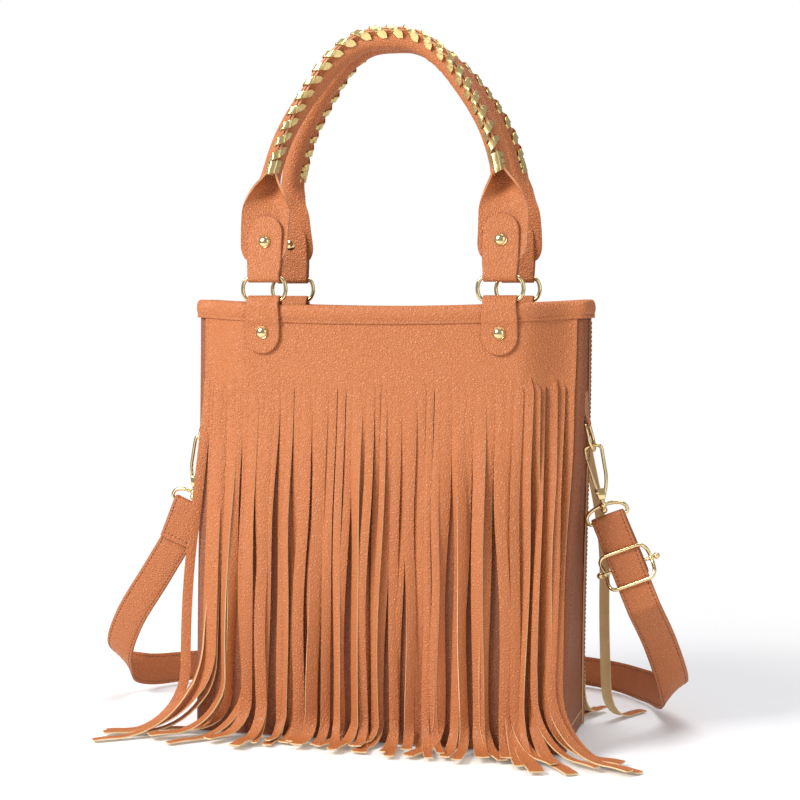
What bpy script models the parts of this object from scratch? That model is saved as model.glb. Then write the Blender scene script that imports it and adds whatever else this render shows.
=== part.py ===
# Fringed shoulder bag with rolled, laced handles and a clip-on strap.
# Units are metres, +Z is up, the front of the bag faces -Y, and the origin is the middle of its base.
import math
import random
from functools import lru_cache

import bmesh
import bpy
from mathutils import Matrix, Vector

# The bag's own box
BAG_WIDTH = 0.310
BASE_WIDTH = 0.288
BAG_HEIGHT = 0.332
BASE_DEPTH = 0.106
MOUTH_DEPTH = 0.072
MOUTH_END_DEPTH = 0.034
GUSSET_FOLD = 0.008
FLAT_SHARE = 0.73
BULGE_START = 0.2
RIM_SAG = 0.005
CORNER_RADIUS = 0.007

# Sheet thicknesses and the clearance between neighbours
LEATHER = 0.0010
LINING_CLOTH = 0.0006
TAB_LEATHER = 0.0020
STRAP_THICKNESS = 0.0020
BOARD_THICKNESS = 0.0020
GAP = 0.0003

# Base and rim
BASE_TURN_UP = 0.012
BINDING_HEIGHT = 0.012

# Fringe
FRINGE_STRIPS = 47
FRINGE_CUT_HEIGHT = 0.273
FRINGE_FLOOR_RADIUS = 0.020
FRINGE_TAIL = 0.026
FRINGE_LAYER = 0.0016
FRINGE_STAND_OFF = 0.006
FRINGE_HANG = (0.45, 1.0)
FRINGE_FAN_START = 0.55
FRINGE_FAN_TURN = 78
FRINGE_FAN_RADIUS = 2.6

# Handle rings, anchor tabs and connector tabs
RING_WIDTH = 0.038
RING_HEIGHT = 0.020
RING_CORNER = 0.0045
RING_WIRE = 0.0030
HANDLE_SPREAD = 0.186
ANCHOR_DROP = 0.038
TAB_WIDTH = 0.028
TAB_WAIST = 0.026
CONNECTOR_LENGTH = 0.048
RIVET_HEAD = 0.0098
RIVET_DOME = 0.0028
RIVET_SHANK = 0.0036
ANCHOR_RIVET_DROP = 0.0218
CONNECTOR_RIVET_RISE = 0.028

# Handles
HANDLE_RISE = 0.186
HANDLE_LEAF_WIDTH = 0.038
HANDLE_TUBE = 0.0150
HANDLE_LEATHER = 0.0018
HANDLE_CORE = 0.0094
HANDLE_RIDGE = 0.0050
HANDLE_LEAF_START = 0.013
HANDLES_APART = 0.0012
HANDLE_STATIONS = 25
STRIP_POINTS = 10
ROLL_START = 0.055
ROLL_END = 0.092
LACE_WIDTH = 0.0050
LACE_THICKNESS = 0.0008
LACE_WRAPS = 20
LACE_EASE = 0.0009
LACE_START = 0.012

# Side rings, hooks and swivels
SIDE_TAB_LENGTH = 0.026
SIDE_RING_BAR_HEIGHT = 0.238
SIDE_TAB_WIDTH = 0.016
SIDE_TAB_LEATHER = 0.0012
SIDE_RING_RADIUS = 0.010
SIDE_RING_WIRE = 0.0028
SIDE_RING_TILT = math.radians(15)
RING_PLAY = 0.0008
HOOK_SHIFT = -0.0005
HOOK_WIRE = 0.0030
HOOK_RADIUS = 0.0065
HOOK_ARCH_RISE = 0.0044
HOOK_ARCH_SQUARE = 0.65
HOOK_NOSE_DROP = 0.0100
HOOK_LENGTH = 0.0330
FOOT_WIDTH = 0.0100
FOOT_HEIGHT = 0.0080
FOOT_DEPTH = 0.0046
GATE_THICKNESS = 0.0018
SWIVEL_POST = 0.0030
SWIVEL_BALL = 0.0052
SWIVEL_NECK = 0.0030
LOOP_WIDTH = 0.0350
LOOP_HEIGHT = 0.0140
LOOP_CORNER = 0.0030
LOOP_WIRE = 0.0028
STRAP_TILT = math.radians(22)
SWING_GAP = 0.0010

# Shoulder strap and slider
STRAP_WIDTH = 0.0260
STRAP_TURN_LENGTH = 0.032
SLIDER_BELOW_LOOP = 0.038
SLIDER_WIDTH = 0.0400
SLIDER_HEIGHT = 0.0290
SLIDER_WIRE = 0.0028
SLIDER_CORNER = 0.006
SLIDER_PIN = 0.0024
SLIDER_BALL = 0.0050
SLIDER_TRAVEL = 0.006

TAN = (0.55, 0.21, 0.08, 1)
GOLD = (0.80, 0.66, 0.40, 1)
DARK_CLOTH = (0.10, 0.06, 0.04, 1)
GREY_BOARD = (0.30, 0.28, 0.25, 1)


# Scene, collections and materials
for old in list(bpy.data.objects):
    bpy.data.objects.remove(old, do_unlink=True)


def make_collection(name):
    made = bpy.data.collections.new(name)
    bpy.context.scene.collection.children.link(made)
    return made


PARTS = make_collection("fringed_bag")
CUTTERS = make_collection("cutters")


def material(name, colour, roughness, metallic=0.0):
    made = bpy.data.materials.new(name)
    made.use_nodes = True
    shader = made.node_tree.nodes["Principled BSDF"]
    shader.inputs["Base Color"].default_value = colour
    shader.inputs["Roughness"].default_value = roughness
    shader.inputs["Metallic"].default_value = metallic
    made.diffuse_color = colour
    return made


def finish(obj, colour, roughness, metallic=0.0):
    obj.data.materials.clear()
    obj.data.materials.append(material(obj.name + "_finish", colour, roughness, metallic))
    obj.data.shade_smooth()
    obj.data.set_sharp_from_angle(angle=math.radians(40))
    return obj


def link(name, data, collection=PARTS):
    obj = bpy.data.objects.new(name, data)
    collection.objects.link(obj)
    return obj


def mesh_object(name, bm, collection=PARTS):
    bmesh.ops.recalc_face_normals(bm, faces=bm.faces)
    data = bpy.data.meshes.new(name)
    bm.to_mesh(data)
    bm.free()
    return link(name, data, collection)


def place(obj, point):
    """Moves an object's origin to a point and leaves its faces where they are."""
    obj.data.transform(Matrix.Translation(-point))
    obj.location = point


def solidify(obj, thickness):
    wall = obj.modifiers.new("thickness", "SOLIDIFY")
    wall.thickness = thickness
    wall.offset = 0.0
    wall.use_even_offset = True
    wall.use_quality_normals = True


def grid_surface(name, rows, closed=False, cap_first=False):
    """An open sheet through rows of points; closed joins each row's ends."""
    bm = bmesh.new()
    grid = [[bm.verts.new(p) for p in row] for row in rows]
    count = len(grid[0])
    columns = count if closed else count - 1
    for lower, upper in zip(grid, grid[1:]):
        for i in range(columns):
            j = (i + 1) % count
            bm.faces.new((lower[i], lower[j], upper[j], upper[i]))
    if cap_first:
        bm.faces.new(grid[0])
    return mesh_object(name, bm)


def ribbon(name, stations, thickness):
    """A flat strip through stations of centre, across direction and half width."""
    rows = [[centre - across * half, centre + across * half] for centre, across, half in stations]
    made = grid_surface(name, rows)
    solidify(made, thickness)
    return made


def apply_modifiers(obj):
    """Turns an object into the plain mesh that its modifiers show."""
    bpy.context.view_layer.update()
    seen = obj.evaluated_get(bpy.context.evaluated_depsgraph_get())
    made = bpy.data.meshes.new_from_object(seen)
    obj.modifiers.clear()
    obj.data = made


def wire(name, points, diameter, cyclic=False, sides=6):
    """A round wire along points, made a mesh with welded caps."""
    curve = bpy.data.curves.new(name, "CURVE")
    curve.dimensions = "3D"
    curve.bevel_depth = diameter / 2
    curve.bevel_resolution = sides // 2 - 2
    curve.use_fill_caps = not cyclic
    curve.twist_mode = "MINIMUM"
    spline = curve.splines.new("POLY")
    spline.points.add(len(points) - 1)
    for slot, p in zip(spline.points, points):
        slot.co = (p[0], p[1], p[2], 1)
    spline.use_cyclic_u = cyclic
    guide = link(name + "_guide", curve, CUTTERS)
    bpy.context.view_layer.update()
    seen = guide.evaluated_get(bpy.context.evaluated_depsgraph_get())
    data = bpy.data.meshes.new_from_object(seen)
    bpy.data.objects.remove(guide, do_unlink=True)
    bm = bmesh.new()
    bm.from_mesh(data)
    bmesh.ops.remove_doubles(bm, verts=bm.verts, dist=0.00001)
    bpy.data.meshes.remove(data)
    return mesh_object(name, bm)


def turned(name, profile, matrix, steps=8):
    """A solid of revolution about its own Z, from outer points listed top to bottom."""
    bm = bmesh.new()
    verts = [bm.verts.new((r, 0, z)) for r, z in profile]
    for a, b in zip(verts, verts[1:]):
        bm.edges.new((a, b))
    data = bpy.data.meshes.new(name)
    bm.to_mesh(data)
    bm.free()
    made = link(name, data)
    screw = made.modifiers.new("turn", "SCREW")
    screw.steps = steps
    screw.render_steps = steps
    screw.use_merge_vertices = True
    screw.merge_threshold = 0.00001
    made.matrix_world = matrix
    return made


def box(name, size, matrix, collection=PARTS):
    bm = bmesh.new()
    bmesh.ops.create_cube(bm, size=1.0, matrix=matrix @ Matrix.Diagonal((*size, 1)))
    return mesh_object(name, bm, collection)


def rod(name, radius, length, matrix, collection=PARTS, segments=10):
    bm = bmesh.new()
    bmesh.ops.create_cone(
        bm, cap_ends=True, segments=segments, radius1=radius, radius2=radius, depth=length, matrix=matrix
    )
    return mesh_object(name, bm, collection)


def boolean(obj, other, operation, keep_other=False):
    """Applies a cut or a join at once, and removes the other object unless it is kept."""
    step = obj.modifiers.new("boolean", "BOOLEAN")
    step.operation = operation
    step.object = other
    step.solver = "EXACT"
    apply_modifiers(obj)
    if not keep_other:
        bpy.data.objects.remove(other, do_unlink=True)


# Lengths along curves
def smooth(t):
    t = min(1.0, max(0.0, t))
    return t * t * (3 - 2 * t)


def curve_through(points, count):
    """Evenly spaced points on a smooth curve through the given ones."""
    ends = [points[0] * 2 - points[1]] + list(points) + [points[-1] * 2 - points[-2]]
    fine = []
    for a, b, c, d in zip(ends, ends[1:], ends[2:], ends[3:]):
        for k in range(16):
            t = k / 16
            fine.append(
                0.5 * (2 * b + (c - a) * t + (2 * a - 5 * b + 4 * c - d) * t**2 + (3 * b - a - 3 * c + d) * t**3)
            )
    fine.append(points[-1])
    lengths = [0.0]
    for a, b in zip(fine, fine[1:]):
        lengths.append(lengths[-1] + (b - a).length)
    made = []
    k = 0
    for i in range(count):
        goal = lengths[-1] * i / (count - 1)
        while k < len(fine) - 2 and lengths[k + 1] < goal:
            k += 1
        share = (goal - lengths[k]) / (lengths[k + 1] - lengths[k])
        made.append(fine[k].lerp(fine[k + 1], share))
    return made


# The bag's outline: every sheet of the body follows it at its own depth under the outer face.
# Depths are positive inward, and each names the middle of a sheet.
PANEL_DEPTH = LEATHER / 2
FRINGE_DEPTH = -(GAP + LEATHER / 2)
GUSSET_DEPTH = LEATHER + GAP + LEATHER / 2
TRAY_DEPTH = GUSSET_DEPTH + LEATHER + GAP
LINING_DEPTH = GUSSET_DEPTH + LEATHER / 2 + GAP + LINING_CLOTH / 2
BINDING_OUTER_DEPTH = FRINGE_DEPTH - LEATHER - GAP
BINDING_INNER_DEPTH = LINING_DEPTH + LINING_CLOTH / 2 + 1.5 * GAP + LEATHER / 2
STACK_MIDDLE = (BINDING_OUTER_DEPTH + BINDING_INNER_DEPTH) / 2
FRONT_SHARES = [-1.0, -0.87, -FLAT_SHARE, -0.36, 0.0, 0.36, FLAT_SHARE, 0.87, 1.0]
PANEL_HEIGHTS = [0.0006, 0.070, 0.140, 0.210, 0.270, BAG_HEIGHT - 0.001]
SHEET_TOP = PANEL_HEIGHTS[-1]


def half_width(z):
    return (BASE_WIDTH + (BAG_WIDTH - BASE_WIDTH) * smooth(z / BAG_HEIGHT)) / 2


def end_half_depth(z):
    return (BASE_DEPTH + (MOUTH_END_DEPTH - BASE_DEPTH) * smooth(z / BAG_HEIGHT)) / 2


def middle_half_depth(z):
    share = (z / BAG_HEIGHT - BULGE_START) / (1 - BULGE_START)
    return (BASE_DEPTH + (MOUTH_DEPTH - BASE_DEPTH) * smooth(share)) / 2


def gusset_fold(z):
    """How deep the gusset is drawn in: a little along its height, and more at the mouth."""
    share = z / BAG_HEIGHT
    return GUSSET_FOLD * (0.6 * smooth(share / 0.4) + 0.4 * smooth((share - 0.78) / 0.22))


def front_half_depth(x, z):
    """How far the front face lies from the middle plane: it is straight between the handles."""
    share = min(1.0, abs(x) / (half_width(z) - CORNER_RADIUS))
    ends = end_half_depth(z)
    return ends + (middle_half_depth(z) - ends) * (1 - smooth((share - FLAT_SHARE) / (1 - FLAT_SHARE)))


def rim_drop(x, z):
    """The rim sags towards its middle, and the sheets below it sag less and less."""
    share = min(1.0, abs(x) / half_width(z))
    return RIM_SAG * (1 - share**2) * (z / BAG_HEIGHT) ** 3


def outline(z):
    """The bag's outer outline at a height, anticlockwise from the front left, as flat points."""
    run = half_width(z) - CORNER_RADIUS
    ends = end_half_depth(z)
    side = ends - CORNER_RADIUS
    front = [Vector((share * run, -front_half_depth(share * run, z))) for share in FRONT_SHARES]
    slant = CORNER_RADIUS * math.sqrt(0.5)
    corner = Vector((run + slant, -(side + slant)))
    fold = gusset_fold(z)
    right = [
        Vector((half_width(z) - fold * (1 - share**2) ** 1.5, share * side)) for share in (-1, -0.5, 0, 0.5, 1)
    ]
    half = front + [corner] + right + [Vector((corner.x, -corner.y))]
    return half + [-p for p in half]


def inset(points, depth):
    """A closed outline moved inward by a depth, square to its sides."""
    made = []
    count = len(points)
    for i, p in enumerate(points):
        before = (p - points[i - 1]).normalized()
        after = (points[(i + 1) % count] - p).normalized()
        first = Vector((-before.y, before.x))
        second = Vector((-after.y, after.x))
        middle = (first + second).normalized()
        made.append(p + middle * (depth / max(0.5, middle.dot(first))))
    return made


@lru_cache(maxsize=None)
def level_ring(z, depth):
    """The outline at a height and depth as points in space, with the rim's sag."""
    return [Vector((p.x, p.y, z - rim_drop(p.x, z))) for p in inset(outline(z), depth)]


def ring_at(z, depth):
    """A ring at any height: on the straight lines between the panels' own levels."""
    k = 0
    while k < len(PANEL_HEIGHTS) - 2 and PANEL_HEIGHTS[k + 1] < z:
        k += 1
    low, high = PANEL_HEIGHTS[k], PANEL_HEIGHTS[k + 1]
    share = (z - low) / (high - low)
    return [a.lerp(b, share) for a, b in zip(level_ring(low, depth), level_ring(high, depth))]


def face_point(share, z, depth, facing):
    """A point of a front or back sheet, by its share of the straight run from -1 to 1."""
    ring = ring_at(z, depth)
    k = 0
    while k < len(FRONT_SHARES) - 2 and FRONT_SHARES[k + 1] < share:
        k += 1
    t = (share - FRONT_SHARES[k]) / (FRONT_SHARES[k + 1] - FRONT_SHARES[k])
    p = ring[k].lerp(ring[k + 1], t)
    return Vector((p.x, -facing * p.y, p.z))


def face_out(x, z, depth):
    """How far from the middle plane a sheet of the front or back face lies."""
    ring = ring_at(z, depth)
    k = 0
    while k < len(FRONT_SHARES) - 2 and ring[k + 1].x < x:
        k += 1
    a, b = ring[k], ring[k + 1]
    return -(a.y + (b.y - a.y) * (x - a.x) / (b.x - a.x))


def part_of(ring, first, last):
    """A stretch of a ring's points; indices may run past its end."""
    return [ring[i % len(ring)] for i in range(first, last + 1)]


FRONT_LAST = len(FRONT_SHARES) - 1
SIDE_FIRST = FRONT_LAST + 2
SIDE_LAST = SIDE_FIRST + 4
RING_HALF = SIDE_LAST + 2


def side_out(y, z, depth):
    """How far from the middle plane a sheet of the right-hand side lies."""
    ring = ring_at(z, depth)
    k = SIDE_FIRST
    while k < SIDE_LAST - 1 and ring[k + 1].y < y:
        k += 1
    a, b = ring[k], ring[k + 1]
    return a.x + (b.x - a.x) * (y - a.y) / (b.y - a.y)


def make_panel(name, start):
    """One flat panel, round both corners to the gussets."""
    rows = [part_of(ring_at(z, PANEL_DEPTH), start - 2, start + FRONT_LAST + 2) for z in PANEL_HEIGHTS]
    panel = grid_surface(name, rows)
    solidify(panel, LEATHER)
    apply_modifiers(panel)
    return panel


front_panel = make_panel("front_panel", 0)
back_panel = make_panel("back_panel", RING_HALF)


def make_gusset(name, start):
    """A side panel whose edges lie behind the front and back panels' edges as seam allowances."""
    rows = [
        part_of(ring_at(z, GUSSET_DEPTH), start + FRONT_LAST, start + FRONT_LAST + 8) for z in PANEL_HEIGHTS
    ]
    gusset = grid_surface(name, rows)
    solidify(gusset, LEATHER)
    return finish(gusset, TAN, 0.55)


make_gusset("gusset_right", 0)
make_gusset("gusset_left", RING_HALF)


def make_base():
    """The base sheet, turned up inside the panels, and the stiff board that lies on it."""
    heights = [LEATHER / 2, LEATHER / 2 + 0.003, BASE_TURN_UP]
    depths = [TRAY_DEPTH + 0.0015, TRAY_DEPTH, TRAY_DEPTH]
    rows = [ring_at(z, depth) for z, depth in zip(heights, depths)]
    tray = grid_surface("base_panel", rows, closed=True, cap_first=True)
    solidify(tray, LEATHER)
    finish(tray, TAN, 0.55)
    low = LEATHER + GAP
    edge = ring_at(low, TRAY_DEPTH + LEATHER / 2 + 0.0015 + GAP)
    bm = bmesh.new()
    face = bm.faces.new([bm.verts.new((p.x, p.y, low)) for p in edge])
    raised = bmesh.ops.extrude_face_region(bm, geom=[face])["geom"]
    verts = [v for v in raised if isinstance(v, bmesh.types.BMVert)]
    bmesh.ops.translate(bm, verts=verts, vec=(0, 0, BOARD_THICKNESS))
    board = mesh_object("base_board", bm)
    finish(board, GREY_BOARD, 0.8)


make_base()
BOARD_TOP = LEATHER + GAP + BOARD_THICKNESS


def make_lining():
    """The cloth bag inside: its wall steps inward over the base sheet's turned-up edge."""
    bottom = BOARD_TOP + GAP + LINING_CLOTH / 2
    low_depth = TRAY_DEPTH + LEATHER / 2 + GAP + LINING_CLOTH / 2
    levels = [
        (bottom, low_depth + 0.002),
        (bottom + 0.003, low_depth),
        (BASE_TURN_UP + 0.002, low_depth),
        (BASE_TURN_UP + 0.012, LINING_DEPTH + GAP),
    ]
    levels += [(z, LINING_DEPTH) for z in PANEL_HEIGHTS[1:]]
    rows = [ring_at(z, depth) for z, depth in levels]
    lining = grid_surface("lining", rows, closed=True, cap_first=True)
    solidify(lining, LINING_CLOTH)
    apply_modifiers(lining)
    return lining


lining = make_lining()


def make_binding():
    """The strip folded over the rim: it runs down outside the fringe and inside the lining."""
    crown = SHEET_TOP + GAP + LEATHER / 2
    foot = BAG_HEIGHT - BINDING_HEIGHT
    levels = [
        (foot, BINDING_OUTER_DEPTH),
        (crown - 0.0004, BINDING_OUTER_DEPTH),
        (crown + 0.0006, STACK_MIDDLE),
        (crown - 0.0004, BINDING_INNER_DEPTH),
        (foot, BINDING_INNER_DEPTH),
    ]
    rows = [ring_at(z, depth) for z, depth in levels]
    binding = grid_surface("rim_binding", rows, closed=True)
    solidify(binding, LEATHER)
    return finish(binding, TAN, 0.5)


make_binding()


# Fringe: a sheet whose upper band is whole and whose lower part is cut into strips.
# A strip hangs down, bends over near the floor and lies out on it.
def strip_edges(chance):
    """The places across the sheet, from -1 to 1, where one strip ends and the next begins."""
    widths = [chance.uniform(0.72, 1.28) for _ in range(FRINGE_STRIPS)]
    total = sum(widths)
    edges = [-1.0]
    for width in widths:
        edges.append(edges[-1] + 2 * width / total)
    for bend in FRONT_SHARES[1:-1]:
        if bend:
            nearest = min(range(1, FRINGE_STRIPS), key=lambda i: abs(edges[i] - bend))
            edges[nearest] = bend
    edges[-1] = 1.0
    return edges


def strip_line(z_start, fan, tail, lift):
    """One strip's side view, from below its cut to its tip: forward way, height and slope from upright."""
    ground = LEATHER / 2 + 0.0004 + lift
    bend = FRINGE_FLOOR_RADIUS * (1 + FRINGE_FAN_RADIUS * fan)
    drop = z_start - ground - bend
    points = [(0.0, z_start - drop * part, 0.0) for part in FRINGE_HANG]
    turn = math.radians(48)
    points.append((bend * (1 - math.cos(turn)), ground + bend * (1 - math.sin(turn)), turn))
    points.append((bend + tail, ground, math.radians(88)))
    return points


def make_fringe(name, facing, seed, fan_left, fan_right):
    """facing is -1 for the front sheet and 1 for the back one; a fan is how far the outer strips splay."""
    chance = random.Random(seed)
    edges = strip_edges(chance)
    bm = bmesh.new()
    cuts = [FRINGE_CUT_HEIGHT + chance.uniform(-0.0025, 0.0025) for _ in edges]
    top = [bm.verts.new(face_point(share, SHEET_TOP, FRINGE_DEPTH, facing)) for share in edges]
    root = [bm.verts.new(face_point(share, z, FRINGE_DEPTH, facing)) for share, z in zip(edges, cuts)]
    for i in range(FRINGE_STRIPS):
        bm.faces.new((top[i], top[i + 1], root[i + 1], root[i]))
    for i in range(FRINGE_STRIPS):
        share = (edges[i] + edges[i + 1]) / 2
        layer = FRINGE_LAYER * (-1 if i % 2 else 1)
        left = max(0.0, (-share - FRINGE_FAN_START) / (1 - FRINGE_FAN_START))
        right = max(0.0, (share - FRINGE_FAN_START) / (1 - FRINGE_FAN_START))
        fan = fan_left * left + fan_right * right
        heading = math.radians(FRINGE_FAN_TURN) * (fan_right * right**1.2 - fan_left * left**1.2)
        tail = FRINGE_TAIL * chance.uniform(0.1, 1.0)
        z_start = (cuts[i] + cuts[i + 1]) / 2
        start = root[i].co.lerp(root[i + 1].co, 0.5)
        edge = root[i + 1].co - root[i].co
        half = edge.length / 2 - 0.00015
        level = math.atan2(-facing * edge.y, edge.x)
        line = strip_line(z_start, fan, tail, FRINGE_LAYER + layer)
        sway = chance.uniform(-0.0012, 0.0012)
        before = (root[i], root[i + 1])
        for k, (forward, z, slope) in enumerate(line, start=1):
            out = face_out(start.x, z, FRINGE_DEPTH) + FRINGE_STAND_OFF * smooth(k / 1.6)
            out += forward * math.cos(heading) + layer * math.cos(slope)
            x = start.x + forward * math.sin(heading) + sway * math.sin(k * 1.7)
            laid = smooth(slope / math.radians(88))
            turn = level * (1 - laid) + heading * laid * 0.9
            across = Vector((math.cos(turn), -facing * math.sin(turn), 0)) * half
            centre = Vector((x, facing * out, z))
            pair = (bm.verts.new(centre - across), bm.verts.new(centre + across))
            bm.faces.new((before[0], before[1], pair[1], pair[0]))
            before = pair
    sheet = mesh_object(name, bm)
    solidify(sheet, LEATHER)
    apply_modifiers(sheet)
    return sheet


front_fringe = make_fringe("front_fringe", -1, 7, 1.0, 0.6)
back_fringe = make_fringe("back_fringe", 1, 19, 0.1, 0.1)


# Handle rings, with the anchor tabs that hold them to the rim and their rivets
RING_X = HANDLE_SPREAD / 2
RIM_TOP_AT_RING = SHEET_TOP - rim_drop(RING_X, SHEET_TOP) + GAP + LEATHER
RING_LOW_BAR = RIM_TOP_AT_RING + GAP + RING_WIRE / 2 + 0.0014
RING_HIGH_BAR = RING_LOW_BAR + RING_HEIGHT - RING_WIRE
RING_Y = face_out(RING_X, SHEET_TOP, STACK_MIDDLE)
TAB_BEND = RING_WIRE / 2 + GAP + TAB_LEATHER / 2


def oblong(width, height, corner, per_corner=3):
    """Points of a round-cornered rectangle about the origin, as flat pairs."""
    points = []
    for sx, sz, start in ((1, 1, 0), (-1, 1, 90), (-1, -1, 180), (1, -1, 270)):
        for k in range(per_corner):
            angle = math.radians(start + 90 * k / (per_corner - 1))
            points.append(
                (
                    sx * (width / 2 - corner) + corner * math.cos(angle),
                    sz * (height / 2 - corner) + corner * math.sin(angle),
                )
            )
    return points


def rounded_end(length, half, rows=3):
    """Distances from a strip's end and the half widths there, for a rounded end."""
    made = []
    for k in range(rows):
        back = length * (1 - math.cos(math.radians(25 + 65 * k / (rows - 1))))
        made.append((back, half * math.sin(math.radians(25 + 65 * k / (rows - 1)))))
    return made


def tab_stations(path, across, half_at):
    """Stations of a strap tab along a path, with rounded ends."""
    lengths = [0.0]
    for a, b in zip(path, path[1:]):
        lengths.append(lengths[-1] + (b - a).length)
    total = lengths[-1]
    ends = rounded_end(TAB_WIDTH / 2, 1.0)
    marks = [back - ends[0][0] for back, _ in ends]
    goals = marks + [length for length in lengths if marks[-1] < length < total - marks[-1]]
    goals += [total - mark for mark in reversed(marks)]
    stations = []
    for goal in goals:
        k = max(i for i in range(len(lengths) - 1) if lengths[i] <= goal or i == 0)
        share = (goal - lengths[k]) / (lengths[k + 1] - lengths[k])
        centre = path[k].lerp(path[k + 1], share)
        near = min(goal, total - goal)
        width = half_at(centre)
        for mark, (_, sine) in zip(marks, ends):
            if abs(near - mark) < 1e-6:
                width *= sine
        stations.append((centre, across, width))
    return stations


def hairpin(middle, radius, down, across, steps=5):
    """Points of a half turn round a bar, from one side of it to the other."""
    outward = down.cross(across)
    return [
        middle + outward * (radius * math.cos(math.pi * k / steps)) - down * (radius * math.sin(math.pi * k / steps))
        for k in range(steps + 1)
    ]


def make_anchor(name, facing, hand):
    """A tab that straddles the rim: outside over the fringe, round the ring's low bar and down inside."""
    x = hand * RING_X
    foot = BAG_HEIGHT - BINDING_HEIGHT - rim_drop(x, BAG_HEIGHT)
    outer = FRINGE_DEPTH - LEATHER / 2 - GAP - TAB_LEATHER / 2
    outer_over = BINDING_OUTER_DEPTH - LEATHER / 2 - GAP - TAB_LEATHER / 2
    inner = LINING_DEPTH + LINING_CLOTH / 2 + GAP + TAB_LEATHER / 2
    inner_over = BINDING_INNER_DEPTH + LEATHER / 2 + GAP + TAB_LEATHER / 2
    low = RIM_TOP_AT_RING - ANCHOR_DROP

    def at(depth, z):
        return Vector((x, facing * face_out(x, z, depth), z))

    bar = Vector((x, facing * RING_Y, RING_LOW_BAR))
    bend = hairpin(bar, TAB_BEND, Vector((0, 0, -1)), Vector((-facing, 0, 0)))
    path = [at(outer, low), at(outer, foot - 0.0020), at(outer_over, foot - 0.0008)]
    path += [at(outer_over, RIM_TOP_AT_RING + 0.0003)]
    path += bend
    path += [at(inner_over, RIM_TOP_AT_RING + 0.0003)]
    path += [at(inner_over, foot - 0.0008), at(inner, foot - 0.0020), at(inner, low)]
    waist = RING_LOW_BAR - 0.012

    def half_at(centre):
        return (TAB_WIDTH + (TAB_WAIST - TAB_WIDTH) * smooth((centre.z - waist) / 0.012)) / 2

    tab = ribbon(name, tab_stations(path, Vector((1, 0, 0)), half_at), TAB_LEATHER)
    apply_modifiers(tab)
    return tab


def rivet_profile(grip):
    """A domed head, a shank through the grip and a low cap behind it, top to bottom."""
    head, shank = RIVET_HEAD / 2, RIVET_SHANK / 2
    points = [(0.0, RIVET_DOME)]
    for angle in (65, 40, 15):
        a = math.radians(angle)
        points.append((head * math.cos(a), RIVET_DOME * math.sin(a)))
    points += [(head, 0.0), (shank, 0.0), (shank, -grip), (head * 0.8, -grip)]
    points += [(head * 0.7, -grip - 0.0008), (0.0, -grip - 0.0010)]
    return points


def make_rivet(name, head_seat, tail_seat):
    """A rivet between two seats; each seat is the outer face of what it holds."""
    axis = (head_seat - tail_seat).normalized()
    grip = (head_seat - tail_seat).length + 2 * GAP
    turn = Vector((0, 0, 1)).rotation_difference(axis).to_matrix().to_4x4()
    made = turned(name, rivet_profile(grip), Matrix.Translation(head_seat + axis * GAP) @ turn)
    return finish(made, GOLD, 0.2, 1.0)


def rivet_hole(head_seat, tail_seat):
    axis = (head_seat - tail_seat).normalized()
    turn = Vector((0, 0, 1)).rotation_difference(axis).to_matrix().to_4x4()
    length = (head_seat - tail_seat).length + 0.006
    middle = Matrix.Translation((head_seat + tail_seat) / 2) @ turn
    return rod("rivet_hole", RIVET_SHANK / 2 + GAP, length, middle, CUTTERS, segments=8)


def cut_hole(pieces, head_seat, tail_seat):
    """Cuts one rivet hole through all the sheets that it joins."""
    cutter = rivet_hole(head_seat, tail_seat)
    for piece in pieces:
        boolean(piece, cutter, "DIFFERENCE", keep_other=True)
    bpy.data.objects.remove(cutter, do_unlink=True)


def make_ring(name, facing, hand):
    width = RING_WIDTH - RING_WIRE
    height = RING_HEIGHT - RING_WIRE
    middle = (RING_LOW_BAR + RING_HIGH_BAR) / 2
    points = [
        Vector((hand * RING_X + px, facing * RING_Y, middle + pz)) for px, pz in oblong(width, height, RING_CORNER)
    ]
    ring = wire(name, points, RING_WIRE, cyclic=True)
    place(ring, Vector((hand * RING_X, facing * RING_Y, RING_LOW_BAR)))
    return finish(ring, GOLD, 0.2, 1.0)


SIDES = (("left", -1), ("right", 1))
FACES = (("front", -1, front_panel, front_fringe), ("back", 1, back_panel, back_fringe))

for face_name, facing, panel, fringe in FACES:
    for hand_name, hand in SIDES:
        tab = make_anchor(f"anchor_tab_{face_name}_{hand_name}", facing, hand)
        x = hand * RING_X
        z = RIM_TOP_AT_RING - ANCHOR_RIVET_DROP
        slope = (face_out(x, z + 0.01, 0.0) - face_out(x, z - 0.01, 0.0)) / 0.02
        outer = face_out(x, z, FRINGE_DEPTH - LEATHER / 2 - GAP - TAB_LEATHER)
        inner = face_out(x, z, LINING_DEPTH + LINING_CLOTH / 2 + GAP + TAB_LEATHER)
        tip = -slope * (outer - inner)
        head_seat = Vector((x, facing * outer, z))
        tail_seat = Vector((x, facing * inner, z - tip))
        cut_hole((tab, fringe, panel, lining), head_seat, tail_seat)
        finish(tab, TAN, 0.5)
        make_rivet(f"anchor_rivet_{face_name}_{hand_name}", head_seat, tail_seat)
        make_ring(f"handle_ring_{face_name}_{hand_name}", facing, hand)

finish(front_panel, TAN, 0.55)
finish(back_panel, TAN, 0.55)
finish(lining, DARK_CLOTH, 0.9)
finish(front_fringe, TAN, 0.6)
finish(back_fringe, TAN, 0.6)


# Handles: each stands in a plane that leans inward from its two rings
HANDLE_LEAN = math.asin((RING_Y - HANDLE_TUBE / 2 - HANDLES_APART / 2) / (HANDLE_RISE + HANDLE_TUBE / 2))


def handle_point(facing, x, up, out=0.0):
    """A point of a handle's own plane: across, up from the ring's high bar, and outward from the plane."""
    y = RING_Y - up * math.sin(HANDLE_LEAN) + out * math.cos(HANDLE_LEAN)
    return Vector((x, facing * y, RING_HIGH_BAR + up * math.cos(HANDLE_LEAN) + out * math.sin(HANDLE_LEAN)))


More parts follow.
